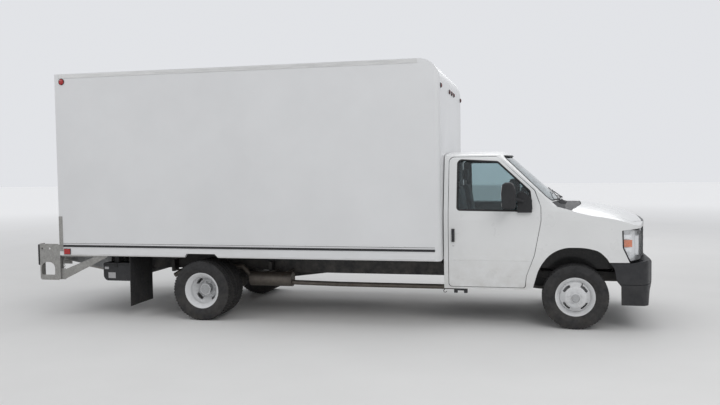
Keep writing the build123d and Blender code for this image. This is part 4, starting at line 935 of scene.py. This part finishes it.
# Amber lamps behind the lens, and the silver steps above and below them: low, high, reach to the front
insert_rear = front_axle + 0.520
for name, look, rows in (
    ("turn_lamps", amber, ((0.948, 1.026, 0.094),)),
    ("lamp_steps", lamp_silver, ((1.034, 1.085, 0.080), (0.893, 0.940, 0.088))),
):
    inserts = Shape()
    for low, high, reach in rows:
        part = head_lens.clipped(plane("x", insert_rear, -1), plane("x", insert_rear + reach, 1),
                                 plane("z", low, -1), plane("z", high, 1), drop=0.010)
        inserts.add(part.verts, part.faces)
    softened(thickened(inserts.make(name, look), 0.018), 0.003, 3, 30)

# Mirror faces, set in the rear of each mirror head, with a small wide-angle face below

face_steps = 40
face_half = 0.082
for side, name in sides:
    low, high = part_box("mirror_" + name)
    tree = tree_of("mirror_" + name)
    across = (low.y if side < 0 else high.y) - side * 0.112
    front, back = [], []
    for k in range(face_steps):
        turn = 2 * math.pi * k / face_steps
        y, z = (place + face_half * math.copysign(abs(part) ** 0.6, part)
                for place, part in ((across, math.cos(turn)), (low.z + 0.237, math.sin(turn))))
        hit = struck(tree, (low.x - 0.5, y, z), (1, 0, 0))
        x = hit.x if hit else low.x + 0.02
        front.append((x - 0.001, y, z))
        back.append((x - 0.004, y, z))
    n = face_steps
    faces = [list(range(n, 2 * n))] + [(i, (i + 1) % n, n + (i + 1) % n, n + i) for i in range(n)]
    Shape().add(front + back, faces).make("mirror_face_" + name, mirror_face, "door_" + name, bevel=0.001)
    spot = struck(tree, (low.x - 0.5, across, low.z + 0.108), (1, 0, 0))
    upright = Matrix(((0, 0, -1, 0), (-1, 0, 0, 0), (0, 1, 0, 0), (0, 0, 0, 1)))
    Shape().plate(rounded(0.140, 0.062, 0.018), 0.003, Matrix.Translation(spot) @ upright).make(
        "spot_mirror_" + name, mirror_face, "door_" + name, bevel=0.0008)

# Wipers on the windscreen

wipers = Shape()
screen = tree_of("windscreen", "cab_shell", "cowl_panel", "wings")


def on_screen(y, z, lift):
    """Point at a distance in front of the windscreen."""
    hit, normal = screen.ray_cast(Vector((front_axle + 2, y, z)), Vector((-1, 0, 0)))[:2]
    return hit + normal * math.copysign(lift, normal.x)


blade_z = 1.545
for pivot_y, tip_y in ((0.20, 0.58), (-0.56, -0.16)):
    foot = on_screen(pivot_y, 1.448, 0.012)
    wipers.tube([foot + Vector((0.01, 0, 0)), on_screen(pivot_y + 0.35 * (tip_y - pivot_y), 1.50, 0.026),
                 on_screen(tip_y, blade_z, 0.024)], 0.0065, 6)
    shares = [k / 8 - 0.5 for k in range(9)]
    blade = [on_screen(tip_y + share * 0.5, blade_z + share * 0.06, 0.011) for share in shares]
    wipers.tube(blade, 0.007, 6, False, 0.6)
    wipers.ring([(0, 0.018), (0.012, 0.018), (0.018, 0.010)], 20,
                turned_to(foot - Vector((0, 0, 0.004)), (0.5, 0, 0.85)))
wipers.make("wipers", gloss_plastic, smooth=50)

# Cowl slats and the fins in the grille's slots

cowl = tree_of("cowl_panel")
slats = Shape()
for k in range(-30, 31):
    y = k * 0.021
    hits = [struck(cowl, (front_axle - 0.055 - 0.030 * step - 0.10 * (y / 0.63) ** 2, y, 2), (0, 0, -1))
            for step in range(5)]
    path = [hit + Vector((0, 0, 0.001)) for hit in hits if hit]
    if len(path) > 2:
        slats.tube(path, 0.0038, 6, False, 0.8)
slats.make("cowl_slats", gloss_plastic, smooth=60)

grille_tree = tree_of("grille")
fins = Shape()
fin_height = 0.065
fin_half = 0.0013
for low in (0.850, 0.935, 1.020, 1.105):
    for k in range(26):
        for side, name in sides:
            y = side * (0.022 + 0.0195 * k)
            hit = struck(grille_tree, (front_axle + 2, y, low + fin_height / 2), (-1, 0, 0))
            if hit:
                fins.box((hit.x - 0.004, y - fin_half, low - 0.001),
                         (hit.x + 0.016, y + fin_half, low + fin_height + 0.001))
fins.make("grille_fins", gloss_plastic)

# Bolt heads on the frame and the steps, and the steps' tread

frame_bolts, step_bolts, tread_rings = Shape(), Shape(), Shape()
rails = tree_of("frame_rails")
suspension_room = 0.45
for side, name in sides:
    for k in range(22):
        x = rear_axle - 1.30 + 0.235 * k
        if abs(x - rear_axle) < suspension_room:
            continue
        for z in (0.575, 0.655):
            hit, normal = rails.ray_cast(Vector((x, side, z)), Vector((0, -side, 0)))[:2]
            if hit and abs(normal.y) > 0.9:
                frame_bolts.bolt(hit, (0, side, 0), 0.010, 0.008)
    for x, z in ((-1.965, 0.568), (-1.965, 0.502), (-1.935, 0.535)):
        step_bolts.bolt(Vector((rear_axle + x, side * 1.200, z)), (0, side, 0))
    for k in range(7):
        place = (rear_axle - 1.90 + 0.095 * k, side * 1.185, box_low.z - 0.014)
        step_bolts.bolt(place, (0, 0, -1), 0.008)
    for z in (0.555, 0.625, 0.745, 0.865):
        step_bolts.bolt((rear_axle - 2.262, side * 1.150, z), (-1, 0, 0), 0.008)
    for i in range(11):
        for j in range(8):
            place = (rear_axle - 2.238 + 0.024 * i, side * (0.985 + 0.027 * j), 0.700)
            tread_rings.ring([(-0.0005, 0.008), (0.002, 0.0065), (0.002, 0.0045), (0.0004, 0.004)], 10,
                             turned_to(place, (0, 0, 1)))
frame_bolts.make("frame_bolts", frame_black, smooth=25)
step_bolts.make("step_bolts", steel, smooth=25)
tread_rings.make("step_tread", galvanised, smooth=50)

# Corner guards, thin strut behind the brace, and bars with bolts on the mud flaps

guards, flap_bars = Shape(), Shape()
guard_rear = box_low.x - 0.050
guard_face = 1.2262
flap_low, flap_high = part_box("mud_flaps")
flap_in, flap_out = 0.650, 1.185
for side, name in sides:
    guards.box((guard_rear, side * 1.2190, 0.838), (guard_rear + 0.051, side * guard_face, 1.286))
    for z in (0.875, 1.06, 1.25):
        guards.bolt((box_low.x - 0.024, side * guard_face, z), (0, side, 0), 0.006, 0.004)
    strut = ((-1.905, 1.170, 0.772), (-1.955, 1.172, 0.700), (-1.925, 1.176, 0.640), (-1.960, 1.180, 0.600))
    guards.tube([(rear_axle + x, side * y, z) for x, y, z in strut], 0.005, 8)
    for thick, low, high in ((0.004, flap_high.z - 0.045, flap_high.z - 0.012),
                             (0.005, flap_low.z + 0.015, flap_low.z + 0.040)):
        flap_bars.box((flap_low.x - thick, side * flap_in, low), (flap_low.x, side * flap_out, high))
    for k in range(5):
        place = (flap_low.x - 0.004, side * (0.68 + 0.118 * k), flap_high.z - 0.028)
        flap_bars.bolt(place, (-1, 0, 0), 0.007, 0.005)
guards.make("corner_guards", galvanised, bevel=0.0012)
flap_bars.make("flap_bars", steel, bevel=0.001)

# U-bolts over the rear spring packs, with a plate and nuts below

clamps = Shape()
axle_tree = tree_of("rear_axle")
spring_y = 0.520
leg_out = 0.042
plate_low = 0.311
for side, name in sides:
    y = side * spring_y
    for x in (rear_axle - 0.085, rear_axle + 0.085):
        peak = struck(axle_tree, (x, y, 0.69), (0, 0, -1)).z + 0.006
        leg = [(leg_out, 0.292), (leg_out, peak - 0.016), (0.037, peak - 0.004), (0.026, peak)]
        bolt_line = [(x, y - a, z) for a, z in leg] + [(x, y + a, z) for a, z in leg[::-1]]
        clamps.tube(bolt_line, 0.0075, 10, up=(1, 0, 0))
        for across in (-leg_out, leg_out):
            clamps.ring([(0, 0.014), (0.013, 0.014), (0.014, 0.012)], 6,
                        turned_to((x, y + across, plate_low), (0, 0, -1)))
    clamps.box((rear_axle - 0.115, y - 0.06, plate_low), (rear_axle + 0.115, y + 0.06, plate_low + 0.012))
clamps.make("spring_clamps", frame_black, bevel=0.001, smooth=50)

# Tyre valves, one on each rim: rims, body, axle, angle from the front

for rims, body, axle, angle in (("rim_front_", "wheel_front_", front_axle, 62),
                                ("rims_rear_", "wheels_rear_", rear_axle, 20)):
    for side, name in sides:
        out = Vector((math.cos(math.radians(angle)), 0, math.sin(math.radians(angle))))
        hit = struck(tree_of(rims + name), Vector((axle, side * 2, axle_z)) + out * 0.168, (0, -side, 0))
        tip = hit + Vector((0, side * 0.030, 0)) - out * 0.008
        Shape().tube([hit - Vector((0, side * 0.004, 0)), tip], 0.0052, 12).ring(
            [(0, 0.0058), (0.011, 0.0056), (0.012, 0.004)], 12, turned_to(tip, (0, side, 0))).make(
            "valve_" + body + name, soft_rubber, body + name, smooth=40)

# Power unit box: lid seam, latch and two blank plates on its outer face

pump_low, pump_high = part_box("pump_box")
pump_face = pump_low.y
lid_z = 0.655
unit, plates = Shape(), Shape()
unit.box((pump_low.x - 0.003, pump_face - 0.003, lid_z - 0.004),
         (pump_high.x + 0.003, pump_face + 0.196, lid_z + 0.004))
unit.box((pump_low.x + 0.16, pump_face - 0.008, lid_z - 0.030),
         (pump_low.x + 0.205, pump_face, lid_z + 0.018))
unit.make("pump_box_lid", soft_rubber, bevel=0.0015)
for x0, x1, z0, z1 in ((0.018, 0.076, 0.598, 0.628), (0.068, 0.172, 0.482, 0.556)):
    plates.box((pump_low.x + x0, pump_face - 0.0015, z0), (pump_low.x + x1, pump_face + 0.001, z1))
plates.make("blank_plates", plate_grey, bevel=0.0006)

# Small feet and a wire hook under the cab's rear corners

feet, hooks = Shape(), Shape()
foot_in, foot_out = 0.925, 0.975
hook_x = front_axle - 1.478
hook = ((0, 0.446), (-0.004, 0.425), (-0.020, 0.408), (-0.016, 0.388), (0.006, 0.384), (0.016, 0.398))
for side, name in sides:
    for rear, front, low, high in ((-1.372, -1.216, 0.414, 0.441), (-1.372, -1.332, 0.386, 0.416),
                                   (-1.256, -1.216, 0.386, 0.416)):
        feet.box((front_axle + rear, side * foot_in, low), (front_axle + front, side * foot_out, high))
    hooks.tube([(hook_x + x, side * 0.945, z) for x, z in hook], 0.0042, 8, up=(0, 1, 0))
feet.make("cab_feet", plastic, bevel=0.003, steps=3)
hooks.make("cab_hooks", plastic, smooth=60)

# Rubber splash flaps that hang from the frame behind the front wheels

splash = Shape()
splash_rear = front_axle - 0.505
rail_y = 0.4300
splash_y = 0.4345
for side, name in sides:
    splash.box((splash_rear, side * rail_y, 0.408), (splash_rear + 0.200, side * splash_y, 0.505))
    for x in (0.030, 0.100, 0.170):
        splash.bolt((splash_rear + x, side * splash_y, 0.488), (0, side, 0), 0.008, 0.004)
splash.make("splash_flaps", deep_plastic, bevel=0.001)

# Latch and pull handles of the roll-up door

door_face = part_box("rollup_door")[0].x
latch = Shape()
latch.box((door_face - 0.005, -0.085, 0.985), (door_face + 0.002, 0.085, 1.135))
latch.box((door_face - 0.022, -0.030, 1.00), (door_face - 0.004, 0.030, 1.045))
pivot = turned_to((door_face - 0.004, 0.045, 1.095), (-1, 0, 0))
latch.ring([(0, 0.020), (0.016, 0.020), (0.018, 0.016)], 24, pivot)
lever = ((-0.019, 0.045, 1.095), (-0.020, 0.0, 1.090), (-0.020, -0.065, 1.078))
latch.tube([(door_face + x, y, z) for x, y, z in lever], 0.008, 10, False, 0.6, (1, 0, 0))
for y in (-0.070, 0.070):
    for z in (1.0, 1.12):
        latch.bolt((door_face - 0.005, y, z), (-1, 0, 0), 0.006, 0.004)
pull_half = ((0.001, -0.07), (-0.020, -0.062), (-0.024, -0.05))
for y in (-0.55, 0.55):
    latch.tube([(door_face + x, y + across, 1.06) for x, across in pull_half]
               + [(door_face + x, y - across, 1.06) for x, across in pull_half[::-1]], 0.006, 10)
latch.make("door_latch", galvanised, bevel=0.001, smooth=50)

# Seats: cushion, back and headrest as padded cloth, blown up a little and sewn into channels

seat_low, seat_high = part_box("seats")
seat_y = 0.500
# Side outlines of the pads: place from the seat's rear, height above its foot
cushion_line = [(0.152, 0.014), (0.196, 0.116), (0.225, 0.112), (0.487, 0.134), (0.494, 0.100),
                (0.478, 0.014)]
back_line = [(0.074, 0.014), (0.014, 0.725), (0.026, 0.780), (0.084, 0.780), (0.182, 0.225), (0.182, 0.125),
             (0.146, 0.014)]
head_line = [(0.012, 0.826), (0.012, 0.976), (0.076, 0.976), (0.076, 0.826)]
seam_y = 0.135
# Name, outline, half width, voxel, most movement, sewn lines along the pad, axis and places of those across
pads = [
    ("cushion", cushion_line, 0.222, 0.008, 0.010, (-seam_y, seam_y), "x", (0.34,)),
    ("back", back_line, 0.222, 0.009, 0.010, (-seam_y, seam_y), "z", (0.30, 0.52)),
    ("headrest", head_line, 0.122, 0.007, 0.008, (), "z", ()),
]


def blown(piece, most, pressure=4.0):
    """Cloth under pressure, with the movement of each point capped; applied to the mesh."""
    start = [v.co.copy() for v in piece.data.vertices]
    cloth = piece.modifiers.new("cloth", "CLOTH")
    cloth.settings.use_pressure = True
    cloth.settings.uniform_pressure_force = pressure
    cloth.settings.effector_weights.gravity = 0
    scene = bpy.context.scene
    for number in range(1, 21):
        scene.frame_set(number)
    shape = piece.evaluated_get(bpy.context.evaluated_depsgraph_get()).data
    swelled = [v.co.copy() for v in shape.vertices]
    piece.modifiers.remove(cloth)
    scene.frame_set(1)
    for v, a, b in zip(piece.data.vertices, start, swelled):
        move = b - a
        v.co = a + move * min(1, most / max(move.length, 1e-6))


def voxelled(shape, name, size, rounding):
    """Object with an even mesh of the shape, its edges rounded."""
    piece = linked(name, shape.mesh(name))
    softened(piece, rounding, 4, 30)
    even = piece.modifiers.new("even", "REMESH")
    even.mode = "VOXEL"
    even.voxel_size = size
    piece.data = bpy.data.meshes.new_from_object(piece.evaluated_get(bpy.context.evaluated_depsgraph_get()))
    piece.data.name = name
    piece.modifiers.clear()
    return piece


def sewn(piece, columns, axis, rows):
    """Channels pressed in along sewn lines."""
    k = "xyz".index(axis)
    for v in piece.data.vertices:
        gaps = [v.co.y - y for y in columns]
        if abs(v.co.y) < seam_y:
            gaps += [v.co[k] - place for place in rows]
        deep = max([math.exp(-(gap / 0.006) ** 2) for gap in gaps], default=0.0)
        v.co -= v.normal * 0.007 * deep


seat_middle = Vector((seat_low.x, 0, seat_low.z))
for name, line, half, voxel, most, columns, axis, rows in pads:
    side_turn = Matrix(((1, 0, 0, 0), (0, 0, -1, half), (0, 1, 0, 0), (0, 0, 0, 1)))
    block = Shape().plate(line, 2 * half, side_turn)
    model = voxelled(block, "seat_" + name, voxel, 0.024)
    blown(model, most)
    sewn(model, columns, axis, rows)
    model.data.shade_smooth()
    for side, side_name in sides:
        piece = linked("seat_" + name + "_" + side_name, model.data.copy())
        piece.data.transform(Matrix.Translation(seat_middle + Vector((0, side * seat_y, 0))))
        piece.data.materials.clear()
        piece.data.materials.append(cloth)
        fine = piece.modifiers.new("fine", "SUBSURF")
        fine.levels = fine.render_levels = 1
        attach(piece, "chassis")
        if name == "cushion" and side < 0:
            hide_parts("seats")
    bpy.data.objects.remove(model)

# Headrest posts, side covers with the recline lever, buckle stalks, and belts from the pillar to the floor

posts, seat_trims, belts = Shape(), Shape(), Shape()
wall = [(0.15, 0.006), (0.13, 0.07), (0.16, 0.125), (0.24, 0.095), (0.44, 0.075), (0.47, 0.03), (0.46, 0.006)]
post_x = seat_low.x + 0.044
pillar_x = front_axle - 1.395
for side, name in sides:
    seat = side * seat_y
    for y in (seat - 0.06, seat + 0.06):
        posts.tube([(post_x, y, seat_high.z - 0.16), (post_x, y, seat_high.z - 0.215)], 0.006, 12)
    for y in (seat - 0.232, seat + 0.232):
        turn = Matrix(((1, 0, 0, seat_low.x), (0, 0, -1, y + 0.0035), (0, 1, 0, seat_low.z), (0, 0, 0, 1)))
        seat_trims.plate(wall, 0.007, turn)
    inner = side * (seat_y - 0.242)
    stalk = [(seat_low.x + x, inner, seat_low.z + z) for x, z in ((0.20, 0.02), (0.19, 0.20))]
    seat_trims.tube(stalk, 0.011, 10, False, 0.5, (0, 1, 0))
    seat_trims.box((seat_low.x + 0.172, inner - 0.013, seat_low.z + 0.20),
                   (seat_low.x + 0.208, inner + 0.013, seat_low.z + 0.262))
    belts.tube([(pillar_x, side * 0.838, 1.74), (pillar_x + 0.004, side * 0.880, 1.30),
                (pillar_x + 0.010, side * 0.880, 0.76)], 0.023, 8, False, 0.05, (0, 1, 0))
    seat_trims.ring([(0, 0.030), (0.012, 0.030), (0.02, 0.018)], 24,
                    turned_to((pillar_x, side * 0.846, 1.755), (0, -side, 0)))
posts.make("headrest_posts", steel, smooth=60)
seat_trims.make("seat_trims", dash_plastic, bevel=0.0025, steps=3)
belts.make("seat_belts", belt_web, smooth=60)

# Dashboard: cluster, vents, radio, knobs and glove box line

dash = tree_of("dashboard")


def on_dash(y, z, lift=0.0):
    """Point and outward direction on the dashboard's face towards the seats."""
    hit, normal = dash.ray_cast(Vector((front_axle - 1.05, y, z)), Vector((1, 0, 0)))[:2]
    if normal.x > 0:
        normal = -normal
    return hit + normal * lift, normal


def faced(y, z, lift=0.0):
    """Matrix on the dashboard's face: X across to the right, Y up the face, Z outwards."""
    place, out = on_dash(y, z, lift)
    across = Vector((0, -1, 0))
    return Matrix.Translation(place) @ Matrix((across, out.cross(across), out)).transposed().to_4x4()


driver_y = 0.43
cluster_z = 1.235
vent_z = 1.275
radio_z = 1.200
knob_z = 1.105
dark_parts, bright_rings, dials = Shape(), Shape(), Shape()
dark_parts.plate(rounded(0.36, 0.13, 0.05), 0.008, faced(driver_y, cluster_z, -0.002))
for shift, radius in ((-0.105, 0.036), (0.0, 0.036), (0.105, 0.036), (-0.052, 0.015), (0.052, 0.015)):
    dial_line = [(0.0, radius), (0.0015, radius), (0.002, radius * 0.3)]
    dials.ring(dial_line, 32, faced(driver_y - shift, cluster_z, 0.007))
    bright_rings.ring([(0, radius + 0.003), (0.003, radius + 0.002), (0.003, radius), (0, radius)], 32,
                      faced(driver_y - shift, cluster_z, 0.006), closed=True)
brow = []
for k in (-1, -0.6, -0.2, 0.2, 0.6, 1):
    top = struck(dash, (front_axle - 0.675, driver_y + 0.20 * k, 1.6), (0, 0, -1))
    brow.append(top + Vector((0, 0, 0.008 * (1 - k * k))))
dark_parts.tube(brow, 0.030, 12, False, 0.5)
for y in (0.72, 0.115, -0.115, -0.72):
    dark_parts.plate(rounded(0.13, 0.07, 0.018), 0.006, faced(y, vent_z, -0.001))
    for k in range(-2, 3):
        dark_parts.box((-0.056, -0.0016, 0), (0.056, 0.0016, 0.005), faced(y, vent_z + k * 0.011, 0.006))
dark_parts.plate(rounded(0.20, 0.075, 0.008), 0.007, faced(0.0, radio_z, -0.001))
for k in range(6):
    dark_parts.box((-0.006, -0.004, 0), (0.006, 0.004, 0.0085), faced(0.075 - k * 0.030, radio_z - 0.020))
for y in (-0.065, 0.0, 0.065):
    at = faced(y, knob_z)
    bright_rings.ring([(0, 0.021), (0.004, 0.021), (0.004, 0.018), (0, 0.018)], 28, at, closed=True)
    dark_parts.ring([(0, 0.018), (0.014, 0.016), (0.016, 0.014)], 28, at)
    dark_parts.box((-0.002, -0.014, 0.014), (0.002, 0.014, 0.020), at)
glove_y = -0.47
glove = [on_dash(glove_y + a, 1.15 + b, 0.0006)[0] for a, b in spread(rounded(0.40, 0.17, 0.02), 0.03)]
dark_parts.tube(glove, 0.0022, 6, True)
dark_parts.box((-0.035, -0.008, -0.002), (0.035, 0.008, 0.006), faced(glove_y, 1.215))
dark_parts.make("dash_details", gloss_plastic, bevel=0.0008)
bright_rings.make("dash_rings", bright)
dials.make("dash_dials", dial_face)

# Column cover with two stalks, and the steering wheel

tilt = math.radians(53)
wheel_out = Vector((-math.cos(tilt), 0, math.sin(tilt)))
wheel_centre = Vector((front_axle - 0.905, driver_y, 1.262))
column_turn = turned_to(wheel_centre, wheel_out)
column_line = [(-0.275, 0.050), (-0.25, 0.058), (-0.09, 0.062), (-0.055, 0.056), (-0.048, 0.03)]
column = Shape().ring(column_line, 28, column_turn)
for side, bend in ((1, 0.03), (-1, 0.0)):
    outward = Vector((0, side, 0))
    base = wheel_centre - wheel_out * 0.10 + outward * 0.05
    tip = base + outward * 0.13 + Vector((0, 0, bend)) + wheel_out * 0.02
    column.tube([base, base.lerp(tip, 0.5) + Vector((0, 0, 0.006)), tip], 0.0065, 10)
    column.ring([(-0.02, 0.0085), (0.012, 0.0095), (0.018, 0.007)], 14, turned_to(tip, outward))
column.make("column_cover", dash_plastic, smooth=50)

wheel = Shape()
rim_radius = 0.195
grip_radius = 0.0135
grip = [(grip_radius * math.sin(math.radians(a)), rim_radius + grip_radius * math.cos(math.radians(a)))
        for a in range(0, 360, 30)]
wheel.ring(grip, 72, column_turn, closed=True)
for turn in (25, 155, 205, 335):
    a = math.radians(turn)
    spoke = column_turn.to_3x3() @ Vector((math.cos(a), math.sin(a), 0))
    spoke_line = [wheel_centre - wheel_out * drop + spoke * out
                  for drop, out in ((0.020, 0.05), (0.016, 0.11), (0.002, 0.187))]
    wheel.tube(spoke_line, 0.017, 10, False, 0.35, wheel_out)
hub_line = [(-0.050, 0.030), (-0.036, 0.062), (-0.012, 0.072), (0.004, 0.066), (0.010, 0.045),
            (0.0125, 0.02)]
wheel.ring(hub_line, 40, column_turn)
wheel.make("steering_wheel_rim", grip_plastic, "steering_wheel", smooth=50, replaces=["steering_wheel"])

# Rear-view mirror, sun visors and pedals

cabin, pedals = Shape(), Shape()
hang = struck(tree_of("windscreen"), (front_axle - 1.2, 0.0, 1.86), (1, 0, 0))
cabin.tube([hang - Vector((0.004, 0, 0)), hang + Vector((-0.05, 0, -0.03))], 0.006, 8)
cabin.plate(rounded(0.24, 0.062, 0.024), 0.016, Matrix.Translation(hang + Vector((-0.072, 0, -0.045)))
            @ Matrix(((0, 0, 1, 0), (1, 0, 0, 0), (0, 1, 0, 0), (0, 0, 0, 1))))
roof = tree_of("cab_shell")
for side, name in sides:
    ceiling = struck(roof, (front_axle - 0.94, side * 0.42, 1.5), (0, 0, 1))
    cabin.plate(rounded(0.40, 0.15, 0.03), 0.014, Matrix.Translation(ceiling - Vector((0, 0, 0.036)))
                @ Matrix.Rotation(math.radians(9), 4, "Y") @ Matrix.Rotation(math.radians(90), 4, "Z"))
cabin.make("visors_and_mirror", lining, bevel=0.003, steps=3)
for y, width, reach in ((0.53, 0.10, 0.0), (0.40, 0.055, -0.02)):
    x = front_axle - 0.665 + reach
    half = width / 2
    pedals.box((x - 0.006, y - half, 0.80), (x + 0.006, y + half, 0.875))
    pedals.tube([(x + 0.006, y, 0.85), (x + 0.05, y, 0.95), (x + 0.06, y, 1.02)], 0.009, 8)
    for z in (0.811, 0.828, 0.845, 0.862):
        pedals.box((x - 0.009, y - half + 0.006, z), (x - 0.005, y + half - 0.006, z + 0.007))
pedals.make("pedals", soft_rubber, bevel=0.002)

# Floor, which far away is seen as pale as the wall behind it

floor_half = 60
floor = bpy.data.meshes.new("floor")
corners = [(x * floor_half, y * floor_half, 0) for x, y in ((-1, -1), (1, -1), (1, 1), (-1, 1))]
floor.from_pydata(corners, [], [(0, 1, 2, 3)])
ground = linked("floor", floor)
floor_look = Look("studio_floor")
fade = floor_look.remap(floor_look.vector("LENGTH", floor_look.place), 6.0, 26.0, 0.0, 0.36)
seen_directly = floor_look.node("LightPath").outputs["Is Camera Ray"]
floor_look.set(Base_Color=floor_look.mottle((0.77, 0.765, 0.75), (0.80, 0.795, 0.78), 0.8, 5), Roughness=0.8,
               Emission_Color=(0.96, 0.97, 1.0),
               Emission_Strength=floor_look.math("MULTIPLY", fade, seen_directly))
floor.materials.append(floor_look.material)

# Studio: it lights the truck at a plain level, and is seen paler directly, mirrored or through glass

light_strength = 0.56
seen_strength = 0.80
world = bpy.data.worlds.new("studio")
bpy.context.scene.world = world
world.use_nodes = True
sky = world.node_tree
back = sky.nodes["Background"]
back.inputs["Color"].default_value = (0.95, 0.965, 1.0, 1)
path = sky.nodes.new("ShaderNodeLightPath")
seen = path.outputs["Is Camera Ray"]
for name in ("Is Glossy Ray", "Is Transmission Ray"):
    both = sky.nodes.new("ShaderNodeMath")
    both.operation = "MAXIMUM"
    sky.links.new(seen, both.inputs[0])
    sky.links.new(path.outputs[name], both.inputs[1])
    seen = both.outputs[0]
level = sky.nodes.new("ShaderNodeMapRange")
level.inputs["To Min"].default_value = light_strength
level.inputs["To Max"].default_value = seen_strength
sky.links.new(seen, level.inputs["Value"])
sky.links.new(level.outputs["Result"], back.inputs["Strength"])

# Soft lamps: place, aim, size, power
for place, aim, size, power in (
    ((6.5, -9.0, 8.0), (0.3, 0, 1.0), 6.0, 275),
    ((-8.0, -6.0, 7.0), (-1.0, 0, 1.5), 5.0, 105),
    ((3.0, 9.0, 8.0), (0, 0, 1.0), 6.0, 190),
    ((0.0, 0.0, 11.0), (0, 0, 0), 8.0, 180),
):
    lamp = bpy.data.lights.new("soft_lamp", "AREA")
    lamp.size = size
    lamp.energy = power
    holder = linked("soft_lamp", lamp)
    holder.location = place
    holder.rotation_euler = (Vector(aim) - Vector(place)).to_track_quat("-Z", "Y").to_euler()

# Camera at the photo's angle

camera_place = Vector((2.530, -9.781, 1.905))
camera_yaw = math.radians(13.278)
camera_pitch = math.radians(2.885)
camera_roll = math.radians(-0.755)
view = bpy.data.cameras.new("camera")
view.lens = 37.68
view.sensor_width = 36
camera = linked("camera", view)
flat = math.cos(camera_pitch)
forward = Vector((-math.sin(camera_yaw) * flat, math.cos(camera_yaw) * flat, -math.sin(camera_pitch)))
right = Vector((math.cos(camera_yaw), math.sin(camera_yaw), 0))
up = right.cross(forward)
turned_right = math.cos(camera_roll) * right + math.sin(camera_roll) * up
turned_up = -math.sin(camera_roll) * right + math.cos(camera_roll) * up
basis = Matrix((turned_right, turned_up, -forward)).transposed().to_4x4()
camera.matrix_world = Matrix.Translation(camera_place) @ basis
bpy.context.scene.camera = camera
bpy.context.scene.view_settings.view_transform = "Standard"
